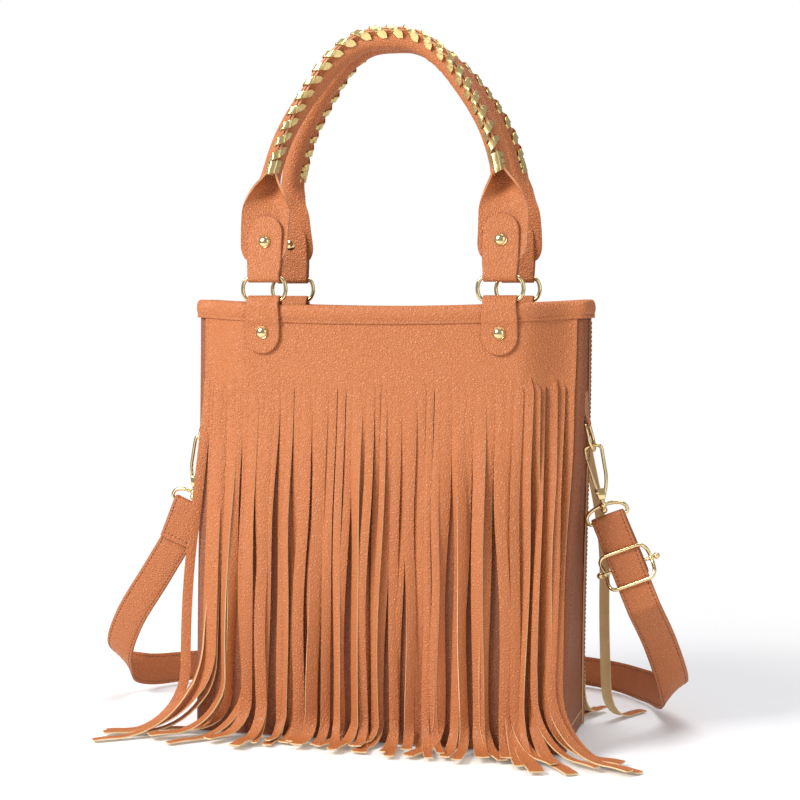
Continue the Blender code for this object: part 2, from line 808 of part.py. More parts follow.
HANDLE_HALF = [
    Vector((-1.005, HANDLE_LEAF_START / HANDLE_RISE)),
    Vector((-1.012, 0.25)),
    Vector((-0.985, 0.42)),
    Vector((-0.88, 0.60)),
    Vector((-0.70, 0.76)),
    Vector((-0.47, 0.905)),
    Vector((-0.235, 0.985)),
    Vector((0.0, 1.0)),
]


def handle_line(count):
    """Evenly spaced points along a handle's middle, as (across, up)."""
    half = [Vector((p.x * RING_X, p.y * HANDLE_RISE, 0)) for p in HANDLE_HALF]
    whole = half + [Vector((-p.x, p.y, 0)) for p in reversed(half[:-1])]
    return curve_through(whole, count)


HANDLE_LINE = handle_line(HANDLE_STATIONS)
HANDLE_LENGTH = sum((b - a).length for a, b in zip(HANDLE_LINE, HANDLE_LINE[1:]))


def rolled(distance):
    """How far the strip is rolled at a distance from its nearer end: 0 is flat and 1 is shut."""
    return smooth((distance - ROLL_START + HANDLE_LEAF_START) / (ROLL_END - ROLL_START))


def strip_section(roll):
    """The rolled strip's section, as (across, outward) pairs round its outline."""
    radius = (HANDLE_TUBE - HANDLE_LEATHER) / 2
    edge = HANDLE_LEATHER / 2 + GAP
    base_share = 1 - 2 / (STRIP_POINTS - 1)
    shut = math.radians(180) - math.asin(edge / radius)
    middle = []
    normals = []
    for k in range(STRIP_POINTS):
        share = 2 * k / (STRIP_POINTS - 1) - 1
        sign = math.copysign(1, share)
        flat = Vector((share * HANDLE_LEAF_WIDTH / 2, 0))
        turn = share / base_share * shut
        if abs(share) > base_share + 0.01:
            tube = Vector((sign * edge, radius + HANDLE_RIDGE))
            tube_normal = Vector((sign, 0))
        elif abs(share) > base_share - 0.01:
            tube = Vector((sign * edge, -radius * math.cos(turn)))
            tube_normal = Vector((sign, 0.15))
        else:
            tube = Vector((radius * math.sin(turn), -radius * math.cos(turn)))
            tube_normal = Vector((math.sin(turn), -math.cos(turn)))
        trough_turn = share * math.radians(100)
        bow = HANDLE_LEAF_WIDTH / 2 / math.radians(100)
        trough = Vector((bow * math.sin(trough_turn), bow * (0.5 - math.cos(trough_turn))))
        trough_normal = Vector((math.sin(trough_turn), -math.cos(trough_turn)))
        if roll < 0.5:
            t = roll * 2
            middle.append(flat.lerp(trough, t))
            normals.append(Vector((0, -1)).lerp(trough_normal, t).normalized())
        else:
            t = roll * 2 - 1
            middle.append(trough.lerp(tube, t))
            normals.append(trough_normal.lerp(tube_normal, t).normalized())
    outer = [p + n * HANDLE_LEATHER / 2 for p, n in zip(middle, normals)]
    inner = [p - n * HANDLE_LEATHER / 2 for p, n in zip(middle, normals)]
    return outer + list(reversed(inner))


def handle_frames(facing, line):
    """Centre, across and outward directions in space at each point of a line."""
    frames = []
    outward = handle_point(facing, 0, 0, 1) - handle_point(facing, 0, 0)
    for i, p in enumerate(line):
        a, b = line[max(0, i - 1)], line[min(len(line) - 1, i + 1)]
        along = (handle_point(facing, b.x, b.y) - handle_point(facing, a.x, a.y)).normalized()
        across = outward.cross(along).normalized()
        frames.append((handle_point(facing, p.x, p.y), across, outward, along))
    return frames


def make_handle(name, facing):
    frames = handle_frames(facing, HANDLE_LINE)
    bm = bmesh.new()
    rows = []
    step = HANDLE_LENGTH / (HANDLE_STATIONS - 1)
    for i, (centre, across, outward, _) in enumerate(frames):
        nearest = min(i, HANDLE_STATIONS - 1 - i) * step
        section = strip_section(rolled(nearest))
        rows.append([bm.verts.new(centre + across * p.x + outward * p.y) for p in section])
    for lower, upper in zip(rows, rows[1:]):
        for i in range(len(lower)):
            j = (i + 1) % len(lower)
            bm.faces.new((lower[i], lower[j], upper[j], upper[i]))
    count = STRIP_POINTS
    for row in (rows[0], rows[-1]):
        for i in range(count - 1):
            bm.faces.new((row[i], row[i + 1], row[2 * count - 2 - i], row[2 * count - 1 - i]))
    return mesh_object(name, bm)


def lace_frames(facing):
    """Frames where the lace goes through the ridge, on the straight lines between the stations."""
    stations = handle_frames(facing, HANDLE_LINE)
    first = (ROLL_END - HANDLE_LEAF_START + LACE_START) * (HANDLE_STATIONS - 1) / HANDLE_LENGTH
    last = HANDLE_STATIONS - 1 - first
    frames = []
    for k in range(LACE_WRAPS + 1):
        at = first + (last - first) * k / LACE_WRAPS
        low = min(int(at), HANDLE_STATIONS - 2)
        frames.append(tuple(a.lerp(b, at - low) for a, b in zip(stations[low], stations[low + 1])))
    return frames


LACE_LOW = (HANDLE_TUBE - HANDLE_LEATHER) / 2 + HANDLE_LEATHER / 2 + LACE_THICKNESS / 2 + 2 * GAP
RIDGE_HALF = HANDLE_LEATHER + GAP
LACE_SIDE = RIDGE_HALF + LACE_EASE + LACE_THICKNESS / 2
LACE_TOP = (HANDLE_TUBE - HANDLE_LEATHER) / 2 + HANDLE_RIDGE + LACE_EASE + LACE_THICKNESS / 2


def cut_slits(handle, facing):
    """A slit through both edges of the ridge for each pass of the lace."""
    frames = lace_frames(facing)
    bm = bmesh.new()
    for centre, across, outward, along in frames:
        turn = Matrix((across, outward, along)).transposed().to_4x4()
        spot = Matrix.Translation(centre + outward * LACE_LOW) @ turn
        size = (4 * RIDGE_HALF, LACE_THICKNESS + 2 * GAP, LACE_WIDTH + 2 * GAP)
        bmesh.ops.create_cube(bm, size=1.0, matrix=spot @ Matrix.Diagonal((*size, 1)))
    slits = mesh_object("lace_slits", bm, CUTTERS)
    boolean(handle, slits, "DIFFERENCE")


def make_lacing(name, facing):
    """One flat lace: through a slit, over the ridge to the next slit, and so on."""
    frames = lace_frames(facing)
    stations = []
    half = LACE_WIDTH / 2
    for k, (centre, across, outward, along) in enumerate(frames):
        stations.append((centre - across * LACE_SIDE + outward * LACE_LOW, along, half))
        stations.append((centre + across * LACE_SIDE + outward * LACE_LOW, along, half))
        if k < len(frames) - 1:
            after = frames[k + 1]
            first = centre.lerp(after[0], 0.3)
            second = centre.lerp(after[0], 0.7)
            stations.append((first + across * LACE_SIDE + outward * LACE_TOP, along, half))
            stations.append((second - across * LACE_SIDE + outward * LACE_TOP, after[3], half))
    lace = ribbon(name, stations, LACE_THICKNESS)
    return finish(lace, GOLD, 0.25, 1.0)


def make_core(name, facing):
    """The round filling that the strip is rolled over."""
    start = 4
    line = HANDLE_LINE[start : HANDLE_STATIONS - start]
    points = [handle_point(facing, p.x, p.y) for p in line]
    core = wire(name, points, HANDLE_CORE, sides=6)
    return finish(core, DARK_CLOTH, 0.9)


def make_connector(name, facing, hand):
    """A tab folded round the ring's high bar, with the handle's flat end between its two legs."""
    x = hand * RING_X
    leg = HANDLE_LEATHER / 2 + GAP + TAB_LEATHER / 2
    outward = handle_point(facing, 0, 0, 1) - handle_point(facing, 0, 0)
    up = (handle_point(facing, 0, 1) - handle_point(facing, 0, 0)).normalized()
    bar = handle_point(facing, x, 0)
    bend = hairpin(bar, TAB_BEND, up, Vector((-facing, 0, 0)))
    if (bend[0] - bar).dot(outward) < 0:
        bend.reverse()
    front = [bar + outward * leg + up * u for u in (CONNECTOR_LENGTH, CONNECTOR_LENGTH * 0.5, 0.010)]
    back = [bar - outward * leg + up * u for u in (0.010, CONNECTOR_LENGTH * 0.5, CONNECTOR_LENGTH)]
    path = front + bend + back

    def half_at(centre):
        rise = (centre - bar).dot(up)
        return (TAB_WIDTH - (TAB_WIDTH - TAB_WAIST) * smooth(1 - rise / 0.012)) / 2

    tab = ribbon(name, tab_stations(path, Vector((1, 0, 0)), half_at), TAB_LEATHER)
    apply_modifiers(tab)
    return tab


for face_name, facing, _, _ in FACES:
    handle = make_handle(f"handle_{face_name}", facing)
    cut_slits(handle, facing)
    make_lacing(f"lacing_{face_name}", facing)
    make_core(f"handle_core_{face_name}", facing)
    for hand_name, hand in SIDES:
        tab = make_connector(f"connector_tab_{face_name}_{hand_name}", facing, hand)
        reach = HANDLE_LEATHER / 2 + GAP + TAB_LEATHER
        head_seat = handle_point(facing, hand * RING_X, CONNECTOR_RIVET_RISE, reach)
        tail_seat = handle_point(facing, hand * RING_X, CONNECTOR_RIVET_RISE, -reach)
        cut_hole((tab, handle), head_seat, tail_seat)
        finish(tab, TAN, 0.5)
        make_rivet(f"handle_rivet_{face_name}_{hand_name}", head_seat, tail_seat)
    finish(handle, TAN, 0.5)
    place(handle, Vector((0, facing * RING_Y, RING_HIGH_BAR)))


# Side tabs and D-rings on the gussets
SIDE_TAB_TOP = SIDE_RING_BAR_HEIGHT + SIDE_TAB_LENGTH
RING_ARC_HEIGHT = SIDE_RING_BAR_HEIGHT - SIDE_RING_RADIUS * math.cos(SIDE_RING_TILT)
RING_ARC_BOTTOM = SIDE_RING_BAR_HEIGHT - 2 * SIDE_RING_RADIUS * math.cos(SIDE_RING_TILT)
SIDE_TAB_BEND = SIDE_RING_WIRE / 2 + GAP + SIDE_TAB_LEATHER / 2
GUSSET_FACE_X = max(
    side_out(y, z, LEATHER + GAP)
    for y in (0, SIDE_TAB_WIDTH / 2)
    for z in (SIDE_TAB_TOP, SIDE_RING_BAR_HEIGHT - 0.003)
)
SIDE_LEG_X = GUSSET_FACE_X + GAP + SIDE_TAB_LEATHER / 2
SIDE_RING_X = SIDE_LEG_X + SIDE_TAB_BEND
HOOK_X = SIDE_RING_X + 2 * SIDE_RING_RADIUS * math.sin(SIDE_RING_TILT) + HOOK_SHIFT


def make_side_tab(name, hand):
    """A short tab sewn to the gusset, folded round the straight bar of the D-ring."""

    def at(x, z):
        return Vector((hand * x, 0, z))

    bar = at(SIDE_RING_X, SIDE_RING_BAR_HEIGHT)
    bend = hairpin(bar, SIDE_TAB_BEND, Vector((0, 0, 1)), Vector((0, hand, 0)))
    if (bend[0] - bar).x * hand > 0:
        bend.reverse()
    outer_leg = SIDE_LEG_X + SIDE_TAB_LEATHER + GAP
    path = [at(SIDE_LEG_X, SIDE_TAB_TOP), at(SIDE_LEG_X, SIDE_RING_BAR_HEIGHT + 0.006)]
    path += bend
    path += [at(outer_leg, SIDE_RING_BAR_HEIGHT + 0.009), at(outer_leg, SIDE_TAB_TOP - 0.001)]
    stations = [(p, Vector((0, 1, 0)), SIDE_TAB_WIDTH / 2) for p in path]
    return finish(ribbon(name, stations, SIDE_TAB_LEATHER), TAN, 0.5)


def make_side_ring(name, hand):
    """A D-ring: its straight bar lies in the tab and its round part hangs below."""
    radius = SIDE_RING_RADIUS
    points = []
    for k in range(9):
        angle = math.radians(180 + 22.5 * k)
        height = SIDE_RING_BAR_HEIGHT - radius + radius * math.sin(angle)
        points.append((radius * math.cos(angle), height))
    points.append((radius, SIDE_RING_BAR_HEIGHT - 0.0012))
    points.append((radius - 0.0012, SIDE_RING_BAR_HEIGHT))
    points.append((-radius + 0.0012, SIDE_RING_BAR_HEIGHT))
    points.append((-radius, SIDE_RING_BAR_HEIGHT - 0.0012))
    spots = []
    for y, z in points:
        drop = SIDE_RING_BAR_HEIGHT - z
        out = SIDE_RING_X + drop * math.sin(SIDE_RING_TILT)
        spots.append(Vector((hand * out, y, SIDE_RING_BAR_HEIGHT - drop * math.cos(SIDE_RING_TILT))))
    ring = wire(name, spots, SIDE_RING_WIRE, cyclic=True, sides=8)
    place(ring, Vector((hand * SIDE_RING_X, 0, SIDE_RING_BAR_HEIGHT)))
    return finish(ring, GOLD, 0.2, 1.0)


# Swivel hooks: a bent body on a foot, a sprung gate, and a loop that turns on the foot's post
HOOK_ARCH_TOP = RING_ARC_BOTTOM + SIDE_RING_WIRE / 2 + RING_PLAY + HOOK_WIRE / 2
HOOK_ARCH_FOOT = HOOK_ARCH_TOP - HOOK_ARCH_RISE
FOOT_TOP = HOOK_ARCH_TOP - HOOK_LENGTH
FOOT_BOTTOM = FOOT_TOP - FOOT_HEIGHT
PIVOT_HEIGHT = FOOT_TOP - 0.0028
PIVOT_X = -0.0022
NOSE_HEIGHT = HOOK_ARCH_TOP - HOOK_NOSE_DROP
SWIVEL_HEIGHT = FOOT_BOTTOM - SWIVEL_NECK - LOOP_WIRE / 2
GATE_SLOT = 0.0024

# The hooks lean out so far that the loops clear the bag's corners as the strap swings back
LOOP_BAR_DROP = LOOP_HEIGHT - LOOP_WIRE
LOOP_HALF = (LOOP_WIDTH - LOOP_WIRE) / 2
LOOP_SHOULDER = LOOP_BAR_DROP - LOOP_CORNER
LOOP_REACH = LOOP_HALF * math.cos(STRAP_TILT) + LOOP_WIRE / 2 - LOOP_SHOULDER * math.sin(STRAP_TILT)
BAG_SIDE_X = max(half_width(SWIVEL_HEIGHT - LOOP_HEIGHT), half_width(SWIVEL_HEIGHT + LOOP_HEIGHT))
EYE_X = BAG_SIDE_X + SWING_GAP + LOOP_REACH
HOOK_LEAN = math.asin((EYE_X - HOOK_X) / (RING_ARC_BOTTOM - SWIVEL_HEIGHT))


def hook_point(hand, x, z):
    """A point of an upright hook's plane; x is positive towards its spine, away from the bag."""
    return Vector((hand * (HOOK_X + x), 0, z))


def lean(hand):
    """The turn that leans an upright hook out from the bag, about the ring's lowest point."""
    pivot = hook_point(hand, 0, RING_ARC_BOTTOM)
    turn = Matrix.Rotation(-hand * HOOK_LEAN, 4, "Y")
    return Matrix.Translation(pivot) @ turn @ Matrix.Translation(-pivot)


def eye_point(hand):
    """Where a swivel loop's eye turns on its hook's post."""
    return lean(hand) @ hook_point(hand, 0, SWIVEL_HEIGHT)


def make_hook(name, hand):
    """A spine, a flat-topped arch that the ring's wire can shift in, and a nose; then the foot and post."""
    points = [(HOOK_RADIUS, FOOT_TOP - 0.003), (HOOK_RADIUS, FOOT_TOP + 0.010)]
    for k in range(9):
        angle = math.pi * k / 8
        x = math.copysign(abs(math.cos(angle)) ** HOOK_ARCH_SQUARE, math.cos(angle)) * HOOK_RADIUS
        points.append((x, HOOK_ARCH_FOOT + HOOK_ARCH_RISE * math.sin(angle) ** HOOK_ARCH_SQUARE))
    points.append((-HOOK_RADIUS, NOSE_HEIGHT))
    points[0] = (FOOT_WIDTH / 2 - HOOK_WIRE / 2, FOOT_TOP - 0.003)
    body = wire(name, [hook_point(hand, x, z) for x, z in points], HOOK_WIRE, sides=8)
    foot_middle = hook_point(hand, 0, (FOOT_TOP + FOOT_BOTTOM) / 2)
    foot = box("foot", (FOOT_WIDTH, FOOT_DEPTH, FOOT_HEIGHT), Matrix.Translation(foot_middle))
    boolean(body, foot, "UNION")
    slot_matrix = Matrix.Translation(hook_point(hand, PIVOT_X - 0.0015, FOOT_TOP - 0.001))
    slot = box("slot", (0.0082, GATE_SLOT, 0.0075), slot_matrix)
    boolean(body, slot, "DIFFERENCE")
    post_length = 0.001 + SWIVEL_NECK + LOOP_WIRE + 0.0012
    post_middle = hook_point(hand, 0, FOOT_BOTTOM + 0.001 - post_length / 2)
    post = rod("post", SWIVEL_POST / 2, post_length, Matrix.Translation(post_middle), segments=10)
    boolean(body, post, "UNION")
    bm = bmesh.new()
    ball_spot = hook_point(hand, 0, SWIVEL_HEIGHT - LOOP_WIRE / 2 - GAP - SWIVEL_BALL * 0.42)
    bmesh.ops.create_uvsphere(
        bm, u_segments=10, v_segments=6, radius=SWIVEL_BALL / 2, matrix=Matrix.Translation(ball_spot)
    )
    ball = mesh_object("ball", bm)
    boolean(body, ball, "UNION")
    body.data.transform(lean(hand))
    place(body, eye_point(hand))
    return finish(body, GOLD, 0.2, 1.0)


def make_gate(name, hand):
    """The sprung lever: it turns on its pin in the foot's slot and shuts against the nose."""
    pivot = hook_point(hand, PIVOT_X, PIVOT_HEIGHT)
    tip = hook_point(hand, -HOOK_RADIUS + 0.0002, NOSE_HEIGHT - GAP - 0.0012)
    along = (tip - pivot).normalized()
    turn = Matrix((along.cross(Vector((0, 1, 0))), Vector((0, 1, 0)), along)).transposed().to_4x4()
    length = (tip - pivot).length + 0.0012
    spot = Matrix.Translation(pivot + along * (length / 2 - 0.0012)) @ turn
    lever = box(name, (0.0020, GATE_THICKNESS, length), spot)
    lever.data.transform(lean(hand))
    place(lever, lean(hand) @ pivot)
    return finish(lever, GOLD, 0.25, 1.0)


def strap_down(hand, tilt=STRAP_TILT):
    """The way that the strap leaves its loop: down, and out from the bag."""
    return Vector((hand * math.sin(tilt), 0, -math.cos(tilt)))


def strap_across(hand, tilt=STRAP_TILT):
    return Vector((hand * math.cos(tilt), 0, math.sin(tilt)))


def make_swivel_loop(name, hand):
    """A flat oval of wire with an eye at its top that the hook's post passes through."""
    eye = hook_point(hand, 0, SWIVEL_HEIGHT)
    tilt = STRAP_TILT - HOOK_LEAN
    points = []
    for side, start in ((-1, 180), (1, 270)):
        for k in range(3):
            angle = math.radians(start + 45 * k)
            w = side * (LOOP_HALF - LOOP_CORNER) + LOOP_CORNER * math.cos(angle)
            points.append((w, LOOP_SHOULDER - LOOP_CORNER * math.sin(angle)))
    for k in range(1, 8):
        angle = math.radians(22.5 * k)
        points.append((LOOP_HALF * math.cos(angle), LOOP_SHOULDER * (1 - math.sin(angle) ** 0.8)))
    spots = [eye + strap_across(hand, tilt) * w + strap_down(hand, tilt) * drop for w, drop in points]
    loop = wire(name, spots, LOOP_WIRE, cyclic=True, sides=6)
    collar = rod("collar", SWIVEL_POST / 2 + GAP + 0.0014, LOOP_WIRE, Matrix.Translation(eye), segments=12)
    boolean(loop, collar, "UNION")
    bore = rod("bore", SWIVEL_POST / 2 + GAP, 0.012, Matrix.Translation(eye), segments=10)
    boolean(loop, bore, "DIFFERENCE")
    bm = bmesh.new()
    ball_spot = eye - Vector((0, 0, LOOP_WIRE / 2 + GAP + SWIVEL_BALL * 0.42))
    bmesh.ops.create_uvsphere(
        bm, u_segments=10, v_segments=6, radius=SWIVEL_BALL / 2 + GAP, matrix=Matrix.Translation(ball_spot)
    )
    hollow = mesh_object("hollow", bm)
    boolean(loop, hollow, "DIFFERENCE")
    loop.data.transform(lean(hand))
    place(loop, eye_point(hand))
    return finish(loop, GOLD, 0.2, 1.0)


for hand_name, hand in SIDES:
    make_side_tab(f"side_tab_{hand_name}", hand)
    make_side_ring(f"side_ring_{hand_name}", hand)
    make_hook(f"hook_{hand_name}", hand)
    make_gate(f"gate_{hand_name}", hand)
    make_swivel_loop(f"swivel_loop_{hand_name}", hand)


# Shoulder strap: from the turned end at the left loop, down to the floor, behind the bag,
# up to the slider, over the right loop and back down to the slider's pin
STRAP_BEND = LOOP_WIRE / 2 + GAP + STRAP_THICKNESS / 2
STRAP_LAYER = STRAP_THICKNESS + GAP
FRONT = Vector((0, -1, 0))


def strap_point(hand, down, out):
    """A point beside a loop's bar: down along the strap, and out towards the front."""
    bar = eye_point(hand) + strap_down(hand) * LOOP_BAR_DROP
    return bar + strap_down(hand) * down + FRONT * out


def left_end():
    """The turned end in front, up over the loop's bar, and down behind it."""
    across = strap_across(-1)
    stations = [
        (strap_point(-1, STRAP_TURN_LENGTH, STRAP_BEND - 0.0006), across),
        (strap_point(-1, 0.010, STRAP_BEND - 0.0002), across),
    ]
    for k in range(6):
        angle = math.pi * k / 5
        spot = strap_point(-1, -STRAP_BEND * math.sin(angle), STRAP_BEND * math.cos(angle))
        stations.append((spot, across))
    stations.append((strap_point(-1, 0.010, -STRAP_BEND), across))
    stations.append((strap_point(-1, STRAP_TURN_LENGTH, 0.0006 - STRAP_THICKNESS), across))
    return stations


SLIDER_OUT = 0.0020
PIN_OUT = SLIDER_OUT - STRAP_THICKNESS / 2 - GAP - STRAP_THICKNESS - GAP - SLIDER_PIN / 2
PIN_BEND = SLIDER_PIN / 2 + GAP + STRAP_THICKNESS / 2


def right_end():
    """Up in front through the slider, over the loop's bar, down behind and round the slider's pin."""
    across = strap_across(1)
    low = SLIDER_BELOW_LOOP + SLIDER_HEIGHT
    stations = [
        (strap_point(1, low, SLIDER_OUT), across),
        (strap_point(1, SLIDER_BELOW_LOOP, SLIDER_OUT), across),
        (strap_point(1, SLIDER_BELOW_LOOP - SLIDER_HEIGHT / 2 - SLIDER_TRAVEL, SLIDER_OUT), across),
        (strap_point(1, 0.006, STRAP_BEND - 0.0002), across),
    ]
    for k in range(6):
        angle = math.pi * k / 5
        spot = strap_point(1, -STRAP_BEND * math.sin(angle), STRAP_BEND * math.cos(angle))
        stations.append((spot, across))
    behind = PIN_OUT - PIN_BEND
    front = PIN_OUT + PIN_BEND
    pin = SLIDER_BELOW_LOOP
    stations.append((strap_point(1, 0.006, -STRAP_BEND), across))
    stations.append((strap_point(1, pin - 0.014, behind), across))
    stations.append((strap_point(1, pin + SLIDER_TRAVEL, behind), across))
    for k in range(1, 5):
        angle = math.pi * k / 5
        down = pin + SLIDER_TRAVEL + PIN_BEND * math.sin(angle)
        stations.append((strap_point(1, down, PIN_OUT - PIN_BEND * math.cos(angle)), across))
    stations.append((strap_point(1, pin + SLIDER_TRAVEL, front), across))
    stations.append((strap_point(1, pin - SLIDER_TRAVEL - 0.004, front), across))
    return stations


# The free run's route: places chosen from the photograph, with the way the strap's width points
FREE_RUN = [
    ((-0.200, 0.006, 0.110), (-0.93, 0.00, 0.36)),
    ((-0.230, 0.018, 0.068), (-0.90, 0.00, 0.44)),
    ((-0.244, 0.034, 0.036), (-0.70, -0.10, 0.70)),
    ((-0.234, 0.064, 0.0180), (-0.30, -0.16, 0.94)),
    ((-0.196, 0.106, 0.0150), (-0.05, -0.22, 0.97)),
    ((-0.114, 0.148, 0.0143), (0.00, -0.25, 0.97)),
    ((0.000, 0.172, 0.0143), (0.00, -0.25, 0.97)),
    ((0.088, 0.178, 0.0143), (0.00, -0.25, 0.97)),
    ((0.146, 0.160, 0.0143), (0.05, -0.22, 0.97)),
    ((0.184, 0.122, 0.0150), (0.24, -0.10, 0.97)),
    ((0.206, 0.080, 0.0190), (0.56, -0.06, 0.83)),
    ((0.212, 0.050, 0.0360), (0.82, -0.02, 0.57)),
    ((0.205, 0.026, 0.070), (0.91, 0.00, 0.42)),
]


def free_run(first, last):
    """The strap between its two ends, evenly spaced, with its width turned from one to the other."""
    places = [first[0]] + [Vector(p) for p, _ in FREE_RUN] + [last[0]]
    ways = [-first[1]] + [Vector(w) for _, w in FREE_RUN] + [last[1]]
    ways[0] = Vector((-math.cos(STRAP_TILT), 0, math.sin(STRAP_TILT)))
    count = 36
    centres = curve_through(places, count)
    lengths = [0.0]
    for a, b in zip(places, places[1:]):
        lengths.append(lengths[-1] + (b - a).length)
    stations = []
    for i, centre in enumerate(centres):
        goal = lengths[-1] * i / (count - 1)
        k = max(j for j in range(len(places) - 1) if lengths[j] <= goal + 1e-9)
        share = (goal - lengths[k]) / (lengths[k + 1] - lengths[k])
        way = ways[k].lerp(ways[k + 1], share)
        along = centres[min(i + 1, count - 1)] - centres[max(i - 1, 0)]
        along.normalize()
        way = (way - along * way.dot(along)).normalized()
        stations.append((centre, way))
    return stations


def make_strap():
    left = left_end()
    right = right_end()
    middle = free_run(left[-1], right[0])
    left = [(p, Vector((-math.cos(STRAP_TILT), 0, math.sin(STRAP_TILT)))) for p, _ in left]
    whole = left + middle[1:-1] + right
    stations = [(p, across, STRAP_WIDTH / 2) for p, across in whole]
    strap = ribbon("shoulder_strap", stations, STRAP_THICKNESS)
    place(strap, Vector((0, 0, RING_ARC_HEIGHT)))
    return finish(strap, TAN, 0.5)


make_strap()


def make_slider():
    """A round-cornered frame whose sides bow back to its pin; the strap runs between frame and pin."""
    across = strap_across(1)
    bar_out = SLIDER_OUT + STRAP_THICKNESS / 2 + GAP + SLIDER_WIRE / 2
    width = SLIDER_WIDTH - SLIDER_WIRE
    height = SLIDER_HEIGHT - SLIDER_WIRE
    points = oblong(width, height, SLIDER_CORNER)
    left_side = [(-width / 2, 0.005), (-width / 2, 0.0), (-width / 2, -0.005)]
    right_side = [(width / 2, -0.005), (width / 2, 0.0), (width / 2, 0.005)]
    points = points[:6] + left_side + points[6:] + right_side
    spots = []
    for w, u in points:
        bow = math.cos(math.pi * u / height) ** 2 * smooth((abs(w) - width / 4) / (width / 4))
        out = bar_out + (PIN_OUT - bar_out) * bow
        spots.append(strap_point(1, SLIDER_BELOW_LOOP - u, out) + across * w)
    frame = wire("slider_frame", spots, SLIDER_WIRE, cyclic=True, sides=6)
    pin_middle = strap_point(1, SLIDER_BELOW_LOOP, PIN_OUT)
    turn = Vector((0, 0, 1)).rotation_difference(across).to_matrix().to_4x4()
    for side in (-1, 1):
        spot = Matrix.Translation(pin_middle + across * (side * width / 2)) @ turn
        boss = rod("boss", SLIDER_PIN / 2 + GAP + 0.0012, SLIDER_WIRE, spot, segments=12)
        boolean(frame, boss, "UNION")
    hole = rod("hole", SLIDER_PIN / 2 + GAP, SLIDER_WIDTH + 0.01, Matrix.Translation(pin_middle) @ turn)
    boolean(frame, hole, "DIFFERENCE")
    finish(frame, GOLD, 0.2, 1.0)
    ball, pin = SLIDER_BALL / 2, SLIDER_PIN / 2
    reach = SLIDER_WIDTH / 2 + GAP
    profile = [(0.0, reach + 2 * ball)]
    for angle in (50, 10, -30):
        a = math.radians(angle)
        profile.append((ball * math.cos(a), reach + ball + ball * math.sin(a)))
    profile.append((pin, reach + ball - math.sqrt(ball**2 - pin**2)))
    profile += [(r, -z) for r, z in reversed(profile)]
    pin_body = turned("slider_pin", profile, Matrix.Translation(pin_middle) @ turn)
    finish(pin_body, GOLD, 0.2, 1.0)


make_slider()
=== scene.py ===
import math
import random

import bmesh
import bpy
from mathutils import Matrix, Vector, noise


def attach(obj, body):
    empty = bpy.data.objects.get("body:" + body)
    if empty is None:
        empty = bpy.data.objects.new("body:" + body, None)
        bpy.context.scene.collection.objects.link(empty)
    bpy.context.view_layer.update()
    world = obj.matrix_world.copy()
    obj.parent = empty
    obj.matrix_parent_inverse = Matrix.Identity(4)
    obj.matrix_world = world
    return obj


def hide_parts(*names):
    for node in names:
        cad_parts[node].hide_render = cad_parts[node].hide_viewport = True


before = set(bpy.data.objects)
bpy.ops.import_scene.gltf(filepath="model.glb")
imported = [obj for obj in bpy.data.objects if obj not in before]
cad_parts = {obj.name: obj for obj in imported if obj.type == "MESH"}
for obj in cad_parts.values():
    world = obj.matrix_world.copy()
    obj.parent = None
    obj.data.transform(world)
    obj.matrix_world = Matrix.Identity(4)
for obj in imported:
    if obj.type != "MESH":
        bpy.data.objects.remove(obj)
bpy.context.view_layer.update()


# Camera: level with the rim, a little to the right of the bag's front, as in the photograph.
CAMERA_TURN = math.radians(15)
CAMERA_DISTANCE = 1.300
CAMERA_HEIGHT = 0.330
CAMERA_LENS = 75
CAMERA_SENSOR = 36
CAMERA_SHIFT = (0.010, -0.12125)
camera_data = bpy.data.cameras.new("camera")
camera_data.lens = CAMERA_LENS
camera_data.sensor_width = CAMERA_SENSOR
camera_data.shift_x, camera_data.shift_y = CAMERA_SHIFT
camera_data.clip_start = 0.05
camera = bpy.data.objects.new("camera", camera_data)
camera.location = (
    CAMERA_DISTANCE * math.sin(CAMERA_TURN),
    -CAMERA_DISTANCE * math.cos(CAMERA_TURN),
    CAMERA_HEIGHT,
)
camera.rotation_euler = (math.pi / 2, 0, CAMERA_TURN)
bpy.context.scene.collection.objects.link(camera)
bpy.context.scene.camera = camera
bpy.context.scene.view_settings.view_transform = "Standard"


# Stage: a white floor that keeps the bag's soft shadow and fades into a white backdrop,
# with a large soft lamp high on the left, a weaker one on the right and one above.
FLOOR_SIZE = 9.0
FLOOR_COLOUR = (0.86, 0.86, 0.87, 1)
FLOOR_LIFT = 0.12
FLOOR_DROP = 0.0003
FADE_START = 0.32
FADE_END = 0.70
ROOM_COLOUR = (0.94, 0.96, 1.0, 1)
ROOM_STRENGTH = 0.36
LAMP_AIM = Vector((0, 0, 0.22))
LAMPS = (
    # name, place, size, watts
    ("key_lamp", (-1.10, -1.20, 1.30), 0.8, 38),
    ("fill_lamp", (1.60, -1.20, 0.90), 1.4, 7),
    ("top_lamp", (0.10, 0.35, 1.90), 1.1, 16),
)


def add_node(tree, kind, settings=None, **inputs):
    """A node with its settings, and each input set to a value or linked to a socket."""
    made = tree.nodes.new(kind)
    for key, value in (settings or {}).items():
        setattr(made, key, value)
    for key, value in inputs.items():
        socket = made.inputs[int(key[1:])] if key[0] == "_" else made.inputs[key.replace("_", " ")]
        if isinstance(value, bpy.types.NodeSocket):
            tree.links.new(value, socket)
        else:
            socket.default_value = value
    return made


def maths(tree, operation, first, second, third=0.5):
    """What a maths node makes of two or three numbers."""
    return add_node(tree, "ShaderNodeMath", {"operation": operation}, _0=first, _1=second, _2=third).outputs[0]


